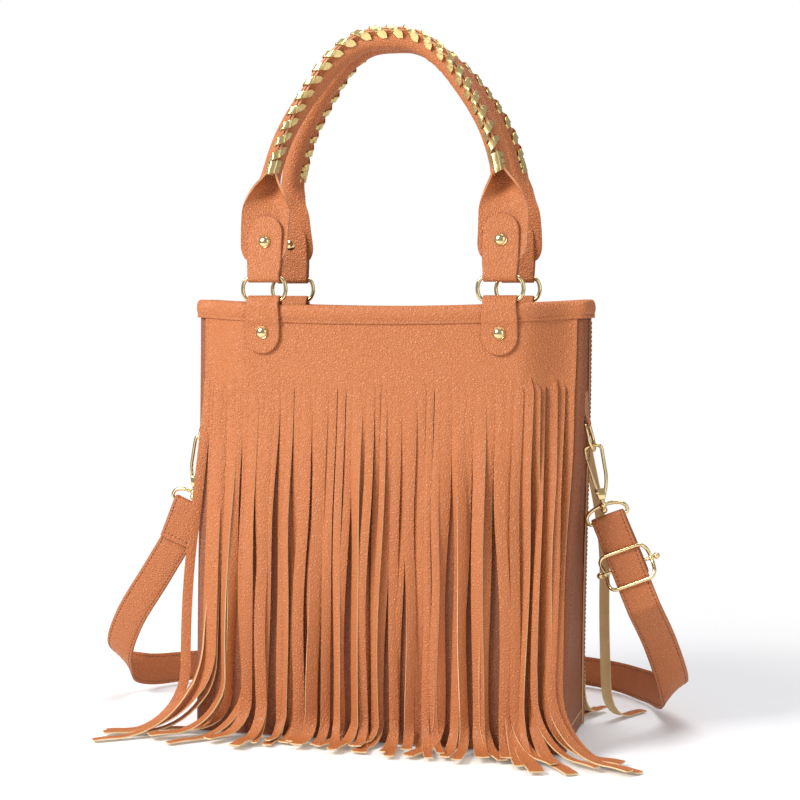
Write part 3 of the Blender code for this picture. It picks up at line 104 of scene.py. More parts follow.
def floor_material():
    made = bpy.data.materials.new("white_floor")
    made.use_nodes = True
    tree = made.node_tree
    tree.nodes.clear()
    place = add_node(tree, "ShaderNodeTexCoord").outputs["Object"]
    reach = add_node(tree, "ShaderNodeVectorMath", {"operation": "LENGTH"}, _0=place).outputs["Value"]
    fade = add_node(
        tree, "ShaderNodeMapRange", {"interpolation_type": "SMOOTHSTEP"},
        Value=reach, From_Min=FADE_START, From_Max=FADE_END,
    ).outputs["Result"]
    seen = add_node(tree, "ShaderNodeLightPath").outputs["Is Camera Ray"]
    matt = add_node(tree, "ShaderNodeBsdfDiffuse", Color=FLOOR_COLOUR).outputs[0]
    glow = add_node(tree, "ShaderNodeEmission", Strength=maths(tree, "MULTIPLY", seen, FLOOR_LIFT)).outputs[0]
    near = add_node(tree, "ShaderNodeAddShader", _0=matt, _1=glow).outputs[0]
    white = add_node(tree, "ShaderNodeEmission", Strength=1.0).outputs[0]
    white_share = maths(tree, "MULTIPLY", seen, fade)
    mixed = add_node(tree, "ShaderNodeMixShader", _0=white_share, _1=near, _2=white).outputs[0]
    add_node(tree, "ShaderNodeOutputMaterial", Surface=mixed)
    return made


def make_stage():
    bm = bmesh.new()
    bmesh.ops.create_grid(bm, x_segments=1, y_segments=1, size=FLOOR_SIZE / 2)
    data = bpy.data.meshes.new("floor")
    bm.to_mesh(data)
    bm.free()
    data.materials.append(floor_material())
    floor = bpy.data.objects.new("floor", data)
    floor.location.z = -FLOOR_DROP
    bpy.context.scene.collection.objects.link(floor)
    for name, place, size, watts in LAMPS:
        lamp = bpy.data.lights.new(name, "AREA")
        lamp.size = size
        lamp.energy = watts
        lamp_object = bpy.data.objects.new(name, lamp)
        lamp_object.location = place
        lamp_object.rotation_euler = (LAMP_AIM - Vector(place)).to_track_quat("-Z", "Y").to_euler()
        bpy.context.scene.collection.objects.link(lamp_object)
    world = bpy.data.worlds.new("room")
    world.use_nodes = True
    bpy.context.scene.world = world
    tree = world.node_tree
    tree.nodes.clear()
    seen = add_node(tree, "ShaderNodeLightPath").outputs["Is Camera Ray"]
    room = add_node(tree, "ShaderNodeBackground", Color=ROOM_COLOUR, Strength=ROOM_STRENGTH).outputs[0]
    white = add_node(tree, "ShaderNodeBackground", Color=(1, 1, 1, 1), Strength=1.0).outputs[0]
    mixed = add_node(tree, "ShaderNodeMixShader", _0=seen, _1=room, _2=white).outputs[0]
    add_node(tree, "ShaderNodeOutputWorld", Surface=mixed)


make_stage()


# Bag body: two panels and two folded gussets of soft pebble-grained leather, 1 mm thick.
# The panels' long edges lap over the gussets round the corners and are sewn there.
BAG_WIDTH = 0.310
BASE_WIDTH = 0.288
BAG_HEIGHT = 0.332
BASE_DEPTH = 0.106
MOUTH_DEPTH = 0.072
MOUTH_END_DEPTH = 0.034
GUSSET_FOLD = 0.008
FLAT_SHARE = 0.73
RIM_SAG = 0.005
CORNER_RADIUS = 0.007
LEATHER = 0.0010
SHEET_TOP = BAG_HEIGHT - 0.001
RUN_STEPS = 60
CORNER_STEPS = 5
SIDE_STEPS = 18
SIDE_FIRST = RUN_STEPS + CORNER_STEPS
RING_HALF = RUN_STEPS + 2 * CORNER_STEPS + SIDE_STEPS
PANEL_ROWS = 40
TAN = (0.630, 0.207, 0.060, 1)
TAN_DEEP = (0.350, 0.082, 0.026, 1)
BUFF = (0.910, 0.690, 0.350, 1)
CREAM = (0.960, 0.720, 0.400, 1)
GRAIN_CELLS = 480
GRAIN_RELIEF = 0.00048
GRAIN_ROUGHNESS = (0.41, 0.60)


def surface(name):
    """A new material, with its node tree, its shader and the object's own coordinates."""
    made = bpy.data.materials.new(name)
    made.use_nodes = True
    tree = made.node_tree
    return made, tree, tree.nodes["Principled BSDF"], add_node(tree, "ShaderNodeTexCoord").outputs["Object"]


def cloudy(tree, place, scale, detail, **more):
    """A noise's value."""
    return add_node(tree, "ShaderNodeTexNoise", Vector=place, Scale=scale, Detail=detail, **more).outputs["Fac"]


def ranged(tree, value, settings=None, **limits):
    """A value taken from one range to another."""
    return add_node(tree, "ShaderNodeMapRange", settings, Value=value, **limits).outputs["Result"]


def tinted(tree, shader, share, first, second):
    """The base colour goes from one colour to another by a share."""
    mixed = add_node(tree, "ShaderNodeMix", {"data_type": "RGBA"}, _0=share, _6=first, _7=second).outputs[2]
    tree.links.new(mixed, shader.inputs["Base Color"])


def embossed(tree, shader, strength, distance, height):
    bump = add_node(tree, "ShaderNodeBump", Strength=strength, Distance=distance, Height=height).outputs[0]
    tree.links.new(bump, shader.inputs["Normal"])


def leather(name, colour, deep):
    """Pebble grain: rounded cells with darker creases, over slow changes of shade."""
    made, tree, shader, place = surface(name)
    wobble = add_node(tree, "ShaderNodeTexNoise", Vector=place, Scale=260, Detail=1).outputs["Color"]
    bent = add_node(
        tree, "ShaderNodeMix", {"data_type": "VECTOR"}, _0=0.0022, _4=place, _5=wobble
    ).outputs[1]
    cell = add_node(
        tree, "ShaderNodeTexVoronoi", {"feature": "DISTANCE_TO_EDGE"}, Vector=bent, Scale=GRAIN_CELLS, Randomness=0.9
    ).outputs["Distance"]
    dome = ranged(tree, cell, {"interpolation_type": "SMOOTHSTEP"}, From_Max=0.40)
    pores = cloudy(tree, place, 2300, 2)
    slow = cloudy(tree, place, 11, 3)
    shade = ranged(tree, slow, From_Min=0.35, From_Max=0.70, To_Min=0.0, To_Max=0.22)
    crease = ranged(tree, dome, To_Min=0.42, To_Max=0.0)
    tinted(tree, shader, maths(tree, "MAXIMUM", shade, crease), colour, deep)
    embossed(tree, shader, 0.85, GRAIN_RELIEF, maths(tree, "MULTIPLY_ADD", pores, 0.10, dome))
    rough = ranged(tree, pores, To_Min=GRAIN_ROUGHNESS[0], To_Max=GRAIN_ROUGHNESS[1])
    tree.links.new(rough, shader.inputs["Roughness"])
    return made


def napped(name, colour, deep, scale, roughness=0.9, sheen=0.25):
    """A short nap, such as a hide's reverse or its cut edge: mottled, matt and faintly furry."""
    made, tree, shader, place = surface(name)
    fibres = cloudy(tree, place, scale, 5, Roughness=0.7)
    mottle = maths(tree, "MULTIPLY", fibres, cloudy(tree, place, 45, 2))
    tinted(tree, shader, ranged(tree, mottle, From_Min=0.12, From_Max=0.42), deep, colour)
    embossed(tree, shader, 0.5, 0.0003, fibres)
    shader.inputs["Roughness"].default_value = roughness
    shader.inputs["Sheen Weight"].default_value = sheen
    return made


TAN_LEATHER = leather("tan_pebble_leather", TAN, TAN_DEEP)
BUFF_REVERSE = napped("buff_reverse", BUFF, (0.74, 0.52, 0.24, 1), 900)
CUT_EDGE = napped("cream_cut_edge", CREAM, (0.78, 0.50, 0.24, 1), 1600, sheen=0.1)
HIDE = (TAN_LEATHER, BUFF_REVERSE, CUT_EDGE)


def smooth(t):
    t = min(1.0, max(0.0, t))
    return t * t * (3 - 2 * t)


def half_width(z):
    return (BASE_WIDTH + (BAG_WIDTH - BASE_WIDTH) * smooth(z / BAG_HEIGHT)) / 2


def end_half_depth(z):
    return (BASE_DEPTH + (MOUTH_END_DEPTH - BASE_DEPTH) * smooth(z / BAG_HEIGHT)) / 2


def front_half_depth(x, z):
    """How far the front face stands from the middle plane: straight between the handles."""
    middle = (BASE_DEPTH + (MOUTH_DEPTH - BASE_DEPTH) * smooth((z / BAG_HEIGHT - 0.2) / 0.8)) / 2
    share = min(1.0, abs(x) / (half_width(z) - CORNER_RADIUS))
    ends = end_half_depth(z)
    return ends + (middle - ends) * (1 - smooth((share - FLAT_SHARE) / (1 - FLAT_SHARE)))


def rim_drop(x, z):
    share = min(1.0, abs(x) / half_width(z))
    return RIM_SAG * (1 - share**2) * (z / BAG_HEIGHT) ** 3


def outline(z):
    """The body's outer outline at a height, anticlockwise from the front left, as flat points."""
    run = half_width(z) - CORNER_RADIUS
    side = end_half_depth(z) - CORNER_RADIUS
    share = z / BAG_HEIGHT
    fold = GUSSET_FOLD * (0.6 * smooth(share / 0.4) + 0.4 * smooth((share - 0.78) / 0.22))
    points = []
    for k in range(RUN_STEPS + 1):
        x = run * (2 * k / RUN_STEPS - 1)
        points.append(Vector((x, -front_half_depth(x, z))))
    for k in range(1, CORNER_STEPS):
        turn = math.radians(90 * k / CORNER_STEPS - 90)
        points.append(Vector((run + CORNER_RADIUS * math.cos(turn), -side + CORNER_RADIUS * math.sin(turn))))
    for k in range(SIDE_STEPS + 1):
        part = 2 * k / SIDE_STEPS - 1
        points.append(Vector((half_width(z) - fold * (1 - part**2) ** 1.5, part * side)))
    for k in range(1, CORNER_STEPS):
        turn = math.radians(90 * k / CORNER_STEPS)
        points.append(Vector((run + CORNER_RADIUS * math.cos(turn), side + CORNER_RADIUS * math.sin(turn))))
    return points + [-p for p in points]


def ring_at(z, depth):
    """The outline at a height, moved inward by a depth, with the rim's sag."""
    flat = outline(z)
    count = len(flat)
    made = []
    for i, p in enumerate(flat):
        along = (flat[(i + 1) % count] - flat[i - 1]).normalized()
        moved = p + Vector((-along.y, along.x)) * depth
        made.append(Vector((moved.x, moved.y, z - rim_drop(moved.x, z))))
    return made


def part_of(ring, first, last):
    return [ring[i % len(ring)] for i in range(first, last + 1)]


def object_from(name, bm, finishes, sharp=40):
    """A finished mesh object at the origin, shaded smooth up to an angle."""
    data = bpy.data.meshes.new(name)
    bm.to_mesh(data)
    bm.free()
    for finish in finishes:
        data.materials.append(finish)
    made = bpy.data.objects.new(name, data)
    bpy.context.scene.collection.objects.link(made)
    data.shade_smooth()
    data.set_sharp_from_angle(angle=math.radians(sharp))
    return made


def solid_from(name, bm, finishes, sharp=50):
    """An object from a closed form, its faces turned outward."""
    bmesh.ops.recalc_face_normals(bm, faces=bm.faces)
    return object_from(name, bm, finishes, sharp)


def quads(bm, rows, closed=True):
    """Quads between rows of vertices, each with its place across; closed joins each row's ends."""
    made = []
    for lower, upper in zip(rows, rows[1:]):
        for i in range(len(lower) if closed else len(lower) - 1):
            j = (i + 1) % len(lower)
            made.append((i, bm.faces.new((lower[i], lower[j], upper[j], upper[i]))))
    return made


def grid_mesh(rows, closed=False, cap=False):
    """A sheet through rows of points; a cap shuts the first row."""
    bm = bmesh.new()
    grid = [[bm.verts.new(p) for p in row] for row in rows]
    quads(bm, grid, closed)
    if cap:
        bm.faces.new(list(reversed(grid[0])))
    return bm


def plain(obj):
    """Turns an object into the plain mesh that its modifiers show."""
    bpy.context.view_layer.update()
    seen = obj.evaluated_get(bpy.context.evaluated_depsgraph_get())
    obj_mesh = bpy.data.meshes.new_from_object(seen)
    obj.modifiers.clear()
    obj.data = obj_mesh
    return obj


def thicken(obj, thickness, sharp=40):
    """Gives a sheet its wall on the inner side, with the reverse and the cut edge as their own finishes."""
    wall = obj.modifiers.new("wall", "SOLIDIFY")
    wall.thickness = thickness
    wall.offset = -1
    wall.use_even_offset = True
    wall.material_offset = 1
    wall.material_offset_rim = 2
    plain(obj)
    obj.data.set_sharp_from_angle(angle=math.radians(sharp))
    return obj


def hand_over(obj, body, slot, *nodes):
    """Rides a piece on its body and hides the solids that it stands for. The slot is not used."""
    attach(obj, body)
    if nodes:
        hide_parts(*nodes)
    return obj


# painted shade: a darker copy of the tan leather, standing in for the shade that falls on the panels under the fringes
# and on the gussets and base
PAINTED_SHADE_TAN = leather("painted_shade_tan_leather", (0.360, 0.108, 0.035, 1), (0.180, 0.048, 0.017, 1))
PAINTED_SHADE_HIDE = (PAINTED_SHADE_TAN, BUFF_REVERSE, CUT_EDGE)
PANEL_LAP = CORNER_STEPS + 1
# the panels lie this much inside the solids' faces, which leaves the swinging hooks room
FLUSH = 0.00030
LAP_GAP = 0.0001
SLACK = 0.0014
panel_levels = [LEATHER + (SHEET_TOP - LEATHER) * k / PANEL_ROWS for k in range(PANEL_ROWS + 1)]
# the panels and gussets take the darker painted-shade copy of the leather
for face, start in (("front", 0), ("back", RING_HALF)):
    rows = [part_of(ring_at(z, FLUSH), start - PANEL_LAP, start + RUN_STEPS + PANEL_LAP) for z in panel_levels]
    panel = thicken(object_from(f"{face}_leather", grid_mesh(rows), PAINTED_SHADE_HIDE), LEATHER)
    hand_over(panel, "bag", "tan_leather", f"{face}_panel")

for hand, start in (("right", 0), ("left", RING_HALF)):
    rows = []
    for z in panel_levels:
        row = part_of(ring_at(z, LEATHER + LAP_GAP + FLUSH), start + RUN_STEPS + 1, start + RING_HALF - 1)
        creased = []
        for i, p in enumerate(row):
            share = min(1.0, 4 * min(i, len(row) - 1 - i) / len(row))
            wave = noise.noise(Vector((p.y * 30, z * 17, start))) + 0.5 * noise.noise(Vector((p.y * 60, z * 44, 7)))
            creased.append(p - Vector((math.copysign(SLACK * share * (0.5 + 0.5 * wave), p.x), 0, 0)))
        rows.append(creased)
    gusset = thicken(object_from(f"gusset_leather_{hand}", grid_mesh(rows), PAINTED_SHADE_HIDE), LEATHER)
    hand_over(gusset, "bag", "tan_leather", f"gusset_{hand}")


# Base: one leather sheet with a rounded turn up all round, sewn inside the panels' lower edges,
# and over it the stiff board that keeps it flat.
BASE_TURN = ((0.0, 0.0050), (0.0003, 0.0030), (0.0012, 0.0018), (0.0030, 0.0013), (0.0120, 0.0012))
base_rows = [ring_at(z, depth) for z, depth in BASE_TURN]
# the base sheet takes the darker painted-shade copy of the leather too
base = thicken(object_from("base_leather", grid_mesh(base_rows, closed=True, cap=True), PAINTED_SHADE_HIDE), LEATHER)
hand_over(base, "bag", "tan_leather", "base_panel")

# the board lies under the lining and stays the plain solid, with a finish of its own
BOARD_GREY = napped("grey_board", (0.34, 0.32, 0.29, 1), (0.22, 0.20, 0.18, 1), 700, sheen=0.0)
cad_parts["base_board"].data.materials.clear()
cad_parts["base_board"].data.materials.append(BOARD_GREY)


# Lining: a bag of plain-woven brown cloth, hung from the rim and loose enough to ripple.
LINING_DEPTH = 0.0046
LINING_ROWS = 36


def woven(name, colour, deep, threads):
    """A fine plain weave: warp and weft as two crossed waves."""
    made, tree, shader, place = surface(name)
    waves = []
    for direction in ("X", "Z"):
        wave = add_node(
            tree, "ShaderNodeTexWave", {"bands_direction": direction},
            Vector=place, Scale=threads, Distortion=1.5, Detail=1,
        )
        waves.append(wave.outputs["Fac"])
    cross = maths(tree, "MAXIMUM", *waves)
    tinted(tree, shader, cross, deep, colour)
    embossed(tree, shader, 0.4, 0.0002, cross)
    shader.inputs["Roughness"].default_value = 0.85
    shader.inputs["Sheen Weight"].default_value = 0.2
    return made


LINING_CLOTH = woven("brown_lining_cloth", (0.20, 0.115, 0.062, 1), (0.10, 0.055, 0.030, 1), 330)


def lining_rows():
    levels = [(0.0050, 0.0085), (0.0060, 0.0062), (0.0090, 0.0052)]
    levels += [(0.014 + (SHEET_TOP - 0.014) * k / LINING_ROWS, LINING_DEPTH) for k in range(LINING_ROWS + 1)]
    rows = []
    for z, depth in levels:
        row = []
        for p in ring_at(z, depth):
            loose = smooth(z / 0.05) * smooth((SHEET_TOP - z) / 0.04)
            ripple = noise.noise(Vector((p.x * 22, p.y * 22, z * 9))) + 0.4
            inward = Vector((-p.x, -p.y * 3, 0)).normalized() * (0.0022 * loose * max(0.0, ripple))
            row.append(p + inward)
        rows.append(row)
    return rows


lining_mesh = grid_mesh(lining_rows(), closed=True, cap=True)
lining = thicken(object_from("lining_cloth_bag", lining_mesh, (LINING_CLOTH,) * 3), 0.0005)
hand_over(lining, "bag", "lining_cloth", "lining")


# Rim binding: a leather strip rolled over the rim, flat at its two lower edges,
# with one row of stitches in the groove under the roll.
BINDING_PROFILE = (
    # depth under the body's face, height from the sheets' top
    (-0.00175, -0.0124), (-0.00235, -0.0122), (-0.00245, -0.0108), (-0.00190, -0.0098), (-0.00235, -0.0088),
    (-0.00285, -0.0068), (-0.00290, -0.0036), (-0.00250, -0.0010), (-0.00140, 0.0010), (0.00040, 0.0018),
    (0.00230, 0.0014), (0.00400, -0.0004), (0.00485, -0.0030), (0.00490, -0.0068), (0.00450, -0.0090),
    (0.00410, -0.0098), (0.00455, -0.0108), (0.00450, -0.0124), (0.00410, -0.0122), (0.00390, -0.0010),
    (0.00120, 0.0004), (-0.00110, -0.0010), (-0.00150, -0.0100),
)
STITCH_DROP = 0.0098


def make_binding():
    columns = [ring_at(SHEET_TOP, depth) for depth, _ in BINDING_PROFILE]
    rows = []
    for column, (_, rise) in zip(columns, BINDING_PROFILE):
        rows.append([p + Vector((0, 0, rise)) for p in column])
    bm = grid_mesh(rows + [rows[0]], closed=True)
    bmesh.ops.remove_doubles(bm, verts=bm.verts, dist=0.00001)
    return solid_from("rolled_rim_binding", bm, (TAN_LEATHER,), sharp=70)


hand_over(make_binding(), "bag", "tan_leather", "rim_binding")


# Stitches: short sunk lengths of waxed thread at an even pitch along every sewn line.
# A node tree sets them along a guide line; the result is turned into a plain mesh.
THREAD_TAN = napped("tan_thread", (0.52, 0.20, 0.075, 1), (0.30, 0.10, 0.035, 1), 2600, 0.6, 0.1)
THREAD_DARK = napped("dark_thread", (0.20, 0.075, 0.030, 1), (0.10, 0.035, 0.015, 1), 2600, 0.6, 0.1)


def stitch_tree():
    """Stitches along a line of edges: its inputs are the pitch, length, thickness, seed and thread."""
    tree = bpy.data.node_groups.new("stitches", "GeometryNodeTree")
    face = tree.interface
    face.new_socket("Line", in_out="INPUT", socket_type="NodeSocketGeometry")
    for label, kind in (
        ("Pitch", "Float"), ("Stitch Length", "Float"), ("Thickness", "Float"), ("Seed", "Int"), ("Thread", "Material")
    ):
        face.new_socket(label, in_out="INPUT", socket_type="NodeSocket" + kind)
    face.new_socket("Stitches", in_out="OUTPUT", socket_type="NodeSocketGeometry")
    given = add_node(tree, "NodeGroupInput").outputs
    curve = add_node(tree, "GeometryNodeMeshToCurve", _0=given["Line"]).outputs[0]
    spots = add_node(tree, "GeometryNodeResampleCurve", {"mode": "LENGTH"}, Curve=curve, Length=given["Pitch"])
    along = add_node(tree, "GeometryNodeInputTangent").outputs[0]
    turn = add_node(tree, "FunctionNodeAlignRotationToVector", {"axis": "Z"}, Vector=along).outputs[0]
    shift = add_node(
        tree, "FunctionNodeRandomValue", {"data_type": "FLOAT"}, _2=0.88, _3=1.10, Seed=given["Seed"]
    ).outputs[1]
    bead = add_node(tree, "GeometryNodeMeshUVSphere", Segments=7, Rings=5, Radius=0.5).outputs[0]
    size = add_node(
        tree, "ShaderNodeCombineXYZ", X=given["Thickness"], Y=given["Thickness"], Z=given["Stitch Length"]
    ).outputs[0]
    scale = add_node(tree, "ShaderNodeVectorMath", {"operation": "SCALE"}, _0=size, Scale=shift).outputs[0]
    laid = add_node(
        tree, "GeometryNodeInstanceOnPoints", Points=spots.outputs[0], Instance=bead, Rotation=turn, Scale=scale
    ).outputs[0]
    real = add_node(tree, "GeometryNodeRealizeInstances", _0=laid).outputs[0]
    done = add_node(tree, "GeometryNodeSetMaterial", Geometry=real, Material=given["Thread"]).outputs[0]
    add_node(tree, "NodeGroupOutput", Stitches=done)
    return tree


STITCHES = stitch_tree()


def sew(name, lines, thread, pitch=0.0034, length=0.0025, thickness=0.0007, seed=3, closed=False):
    """Stitches along lines of points, as one plain mesh."""
    bm = bmesh.new()
    for line in lines:
        verts = [bm.verts.new(p) for p in line]
        for a, b in zip(verts, verts[1:]):
            bm.edges.new((a, b))
        if closed:
            bm.edges.new((verts[-1], verts[0]))
    made = object_from(name, bm, (thread,))
    step = made.modifiers.new("stitches", "NODES")
    step.node_group = STITCHES
    values = {"Pitch": pitch, "Stitch Length": length, "Thickness": thickness, "Seed": seed, "Thread": thread}
    for socket in STITCHES.interface.items_tree:
        if socket.item_type == "SOCKET" and socket.name in values:
            step[socket.identifier] = values[socket.name]
    plain(made)
    made.data.shade_smooth()
    return made


for name, depth in (("rim_stitches", -0.00190), ("rim_stitches_inside", 0.00410)):
    rim_line = [p - Vector((0, 0, STITCH_DROP)) for p in ring_at(SHEET_TOP, depth)]
    hand_over(sew(name, [rim_line], THREAD_TAN, closed=True), "bag", "tan_leather")
SEAM_DEPTH = 0.00014
seam_lines = []
for index in (SIDE_FIRST, SIDE_FIRST + SIDE_STEPS):
    for start in (0, RING_HALF):
        seam_lines.append([ring_at(z, SEAM_DEPTH)[(start + index) % (2 * RING_HALF)] for z in panel_levels[1:-2]])
hand_over(sew("seam_stitches", seam_lines, THREAD_TAN), "bag", "tan_leather")


# Fringes: two sheets of the same hide hung from the rim over the front and back panels,
# each cut from a hand's breadth below the rim into narrow strips that end on the floor.
# The grain side faces out; the reverse and the knife-cut edges stay pale.
FRINGE_STRIPS = 47
FRINGE_DEPTH = -0.0013
CUT_HEIGHT = 0.273
BAND_ROWS = 7
STRIP_COLUMNS = 3
STRIP_STEP = 0.0065
FLOOR_RADIUS = 0.017
FAN_START = 0.52
FAN_TURN = math.radians(80)
FAN_RADIUS = 2.6
LAYER_STEP = 0.0022
STRIP_CURL = 0.00035
STRIP_SPREAD = 0.02
KERF = 0.00045
HEADING_SPREAD = math.radians(15)
RADIUS_RANGE = (0.75, 1.30)
SWAY_RANGE = (0.0004, 0.0014)
SWAY_LENGTHS = (0.14, 0.26)
TWIST_TOP = math.radians(14)
TURNED_TOP = math.radians(28)
TURNED_TOP_SHARE = 0.18
TWIST_LOW = math.radians(16)
TURNED_LOW = math.radians(50)
TURNED_LOW_SHARE = 0.10
TAIL_RANGE = (0.004, 0.020)
FAN_TAIL = 0.010
LEAN_SPREAD = 0.0030
WIDTH_RANGE = (0.74, 1.26)
CUT_RANGE = (-0.006, 0.005)


def strip_path(chance, x, z_cut, facing, layer, fan_turn, fan, tail, lean):
    """One strip's middle line from its cut to its tip, with the way its width points and a twist."""
    heading = fan_turn + chance.gauss(0, HEADING_SPREAD)
    radius = FLOOR_RADIUS * (1 + FAN_RADIUS * fan) * chance.uniform(*RADIUS_RANGE)
    ground = LEATHER + 0.0012 + layer * 0.55
    drop = z_cut - ground - radius
    total = drop + radius * math.pi / 2 + tail
    steps = max(12, int(total / STRIP_STEP))
    step = total / steps
    sway_size = chance.uniform(*SWAY_RANGE)
    sway_phase = chance.uniform(0, math.tau)
    sway_length = chance.uniform(*SWAY_LENGTHS)
    twist_top = chance.gauss(0, TWIST_TOP)
    if chance.random() < TURNED_TOP_SHARE:
        twist_top += chance.choice((-1, 1)) * TURNED_TOP
    twist_low = chance.gauss(0, TWIST_LOW)
    if chance.random() < TURNED_LOW_SHARE:
        twist_low += chance.choice((-1, 1)) * TURNED_LOW
    forward = 0.0
    z = z_cut
    stations = []
    for k in range(1, steps + 1):
        s = k * step
        slope = min(math.pi / 2, max(0.0, (s - drop) / radius))
        past = s - drop - radius * math.pi / 2
        if slope < math.pi / 2:
            forward = radius * (1 - math.cos(slope))
            z = (z_cut - s) if s < drop else ground + radius * (1 - math.sin(slope))
        else:
            forward = radius + past
            z = ground + 0.0004 * math.sin(past * 200)
        hung = smooth(s / 0.12)
        side = lean * smooth(s / 0.25) + hung * sway_size * math.sin(sway_phase + s * math.tau / sway_length)
        stand = layer * hung * (1 - slope / math.pi * 2) + 0.0011 * hung * (1 + math.sin(sway_phase * 2 + s * 24))
        px = x + side + forward * math.sin(heading)
        out = front_half_depth(px, max(0.0, z)) - FRINGE_DEPTH + stand + forward * math.cos(heading)
        laid = smooth(slope / (math.pi / 2))
        twist = (twist_top * hung + twist_low * smooth((s - 0.08) / 0.14)) * (1 - laid)
        stations.append((Vector((px, facing * out, z)), heading * laid * 0.92 + twist, slope))
    return stations


def make_fringe(name, facing, seed, fan_left, fan_right, turned_strips):
    """A band with its strips. Turned strips, by number, are turned further and moved aside by the given sizes."""
    chance = random.Random(seed)
    widths = [chance.uniform(*WIDTH_RANGE) for _ in range(FRINGE_STRIPS)]
    edges = [-1.0]
    for width in widths:
        edges.append(edges[-1] + 2 * width / sum(widths))
    edges[-1] = 1.0
    cuts = [CUT_HEIGHT + chance.uniform(*CUT_RANGE) for _ in edges]
    bm = bmesh.new()

    def on_face(share, z):
        x = share * (half_width(z) - CORNER_RADIUS)
        drop = rim_drop(x, z) * smooth((z - 0.2) / 0.1)
        return Vector((x, facing * (front_half_depth(x, z) - FRINGE_DEPTH), z - drop))

    def column(share, z_low):
        levels = [SHEET_TOP + (z_low - SHEET_TOP) * k / BAND_ROWS for k in range(BAND_ROWS + 1)]
        return [bm.verts.new(on_face(share, z)) for z in levels]

    borders = [column(share, cut) for share, cut in zip(edges, cuts)]
    last_layer = 0
    for i in range(FRINGE_STRIPS):
        a, b = edges[i], edges[i + 1]
        inner = []
        for k in range(1, STRIP_COLUMNS):
            t = k / STRIP_COLUMNS
            inner.append(column(a + (b - a) * t, cuts[i] + (cuts[i + 1] - cuts[i]) * t))
        columns = [borders[i]] + inner + [borders[i + 1]]
        for left, right in zip(columns, columns[1:]):
            for k in range(BAND_ROWS):
                bm.faces.new((left[k], left[k + 1], right[k + 1], right[k]))
        share = (a + b) / 2
        layer_number = chance.choice([n for n in (0, 1, 2) if n != last_layer])
        last_layer = layer_number
        left_fan = max(0.0, (-share - FAN_START) / (1 - FAN_START))
        right_fan = max(0.0, (share - FAN_START) / (1 - FAN_START))
        fan_turn = FAN_TURN * (fan_right * right_fan**1.1 - fan_left * left_fan**0.85)
        fan = fan_left * left_fan + fan_right * right_fan
        tail = chance.uniform(*TAIL_RANGE) + FAN_TAIL * fan
        lean = chance.gauss(0, LEAN_SPREAD)
        start = (columns[0][-1].co + columns[-1][-1].co) / 2
        half = (columns[0][-1].co - columns[-1][-1].co).length / 2 - KERF
        stations = strip_path(
            chance, start.x, start.z, facing, layer_number * LAYER_STEP, fan_turn, fan, tail, lean
        )
        extra_turn, extra_side = turned_strips.get(i, (0.0, 0.0))
        before = [line[-1] for line in columns]
        for k, (centre, turn, slope) in enumerate(stations):
            hung = smooth(k * STRIP_STEP / 0.15)
            turn += extra_turn * hung * math.cos(slope)
            centre = centre + Vector((extra_side * hung, 0, 0))
            across = Vector((math.cos(turn), -facing * math.sin(turn), 0))
            if k:
                along = (centre - stations[k - 1][0]).normalized()
            else:
                along = Vector((0, 0, -1))
            outward = across.cross(along).normalized()
            if outward.y * facing < 0 and slope < 0.5 and abs(extra_turn) < 1:
                outward = -outward
            row = []
            for c in range(STRIP_COLUMNS + 1):
                u = 2 * c / STRIP_COLUMNS - 1
                reach = half * u * (1 + STRIP_SPREAD * hung)
                row.append(bm.verts.new(centre + across * reach - outward * (STRIP_CURL * u * u)))
            for left, right, low_left, low_right in zip(before, before[1:], row, row[1:]):
                bm.faces.new((left, low_left, low_right, right))
            before = row
    if facing > 0:
        bmesh.ops.reverse_faces(bm, faces=bm.faces)
    made = object_from(name, bm, HIDE, sharp=60)
    return thicken(made, LEATHER, sharp=50)


fringe_front = make_fringe("fringe_front_hide", -1, 11, 1.05, 0.85, {0: (0.5, -0.007)})
hand_over(fringe_front, "bag", "tan_leather", "front_fringe")
fringe_back = make_fringe("fringe_back_hide", 1, 29, 0.15, 0.15, {46: (0.25, 0.018), 45: (0.2, 0.002)})
hand_over(fringe_back, "bag", "tan_leather", "back_fringe")


# Anchor tabs: each is one strap of 2 mm leather that goes down outside the rim over the fringe,
# up round the ring's low bar and down inside, and one rivet holds both legs through the bag.
TAB_LEATHER = 0.0020
TAB_WIDTH = 0.028
TAB_WAIST = 0.026
RING_X = 0.093
RING_WIRE = 0.0030
RING_Y = 0.03498
RING_LOW_BAR = 0.33233
RING_HIGH_BAR = 0.34933
RIM_AT_RING = 0.32913
ANCHOR_DROP = 0.038
ANCHOR_RIVET_DROP = 0.0218
TAB_BEND = RING_WIRE / 2 + 0.0003 + TAB_LEATHER / 2
EDGE_ROUND = 0.0006
TAB_EDGE = napped("painted_tan_edge", (0.47, 0.155, 0.055, 1), (0.33, 0.095, 0.030, 1), 1200, 0.55, 0.0)
SIDES = (("left", -1), ("right", 1))
FACES = (("front", -1), ("back", 1))


def strap_section(half, thickness, crown=0.0, groove_at=None, groove=0.0):
    """A flat strap's section as (across, outward) pairs: rounded edges, a soft crown, sewn grooves."""
    shares = [-1, -0.985, -0.95, -0.86, -0.80, -0.74, -0.45, -0.15, 0.15, 0.45, 0.74, 0.80, 0.86, 0.95, 0.985, 1]
    top = []
    bottom = []
    for share in shares:
        inset = (1 - abs(share)) * half
        edge = math.sqrt(max(0.0, 1 - (1 - min(1.0, inset / EDGE_ROUND)) ** 2))
        high = thickness / 2 * edge
        dip = groove if groove_at and abs(abs(share) - groove_at) < 0.001 else 0.0
        top.append((share * half, high + crown * (1 - share * share) - dip))
        bottom.append((share * half, -high + dip))
    return top + list(reversed(bottom[1:-1]))


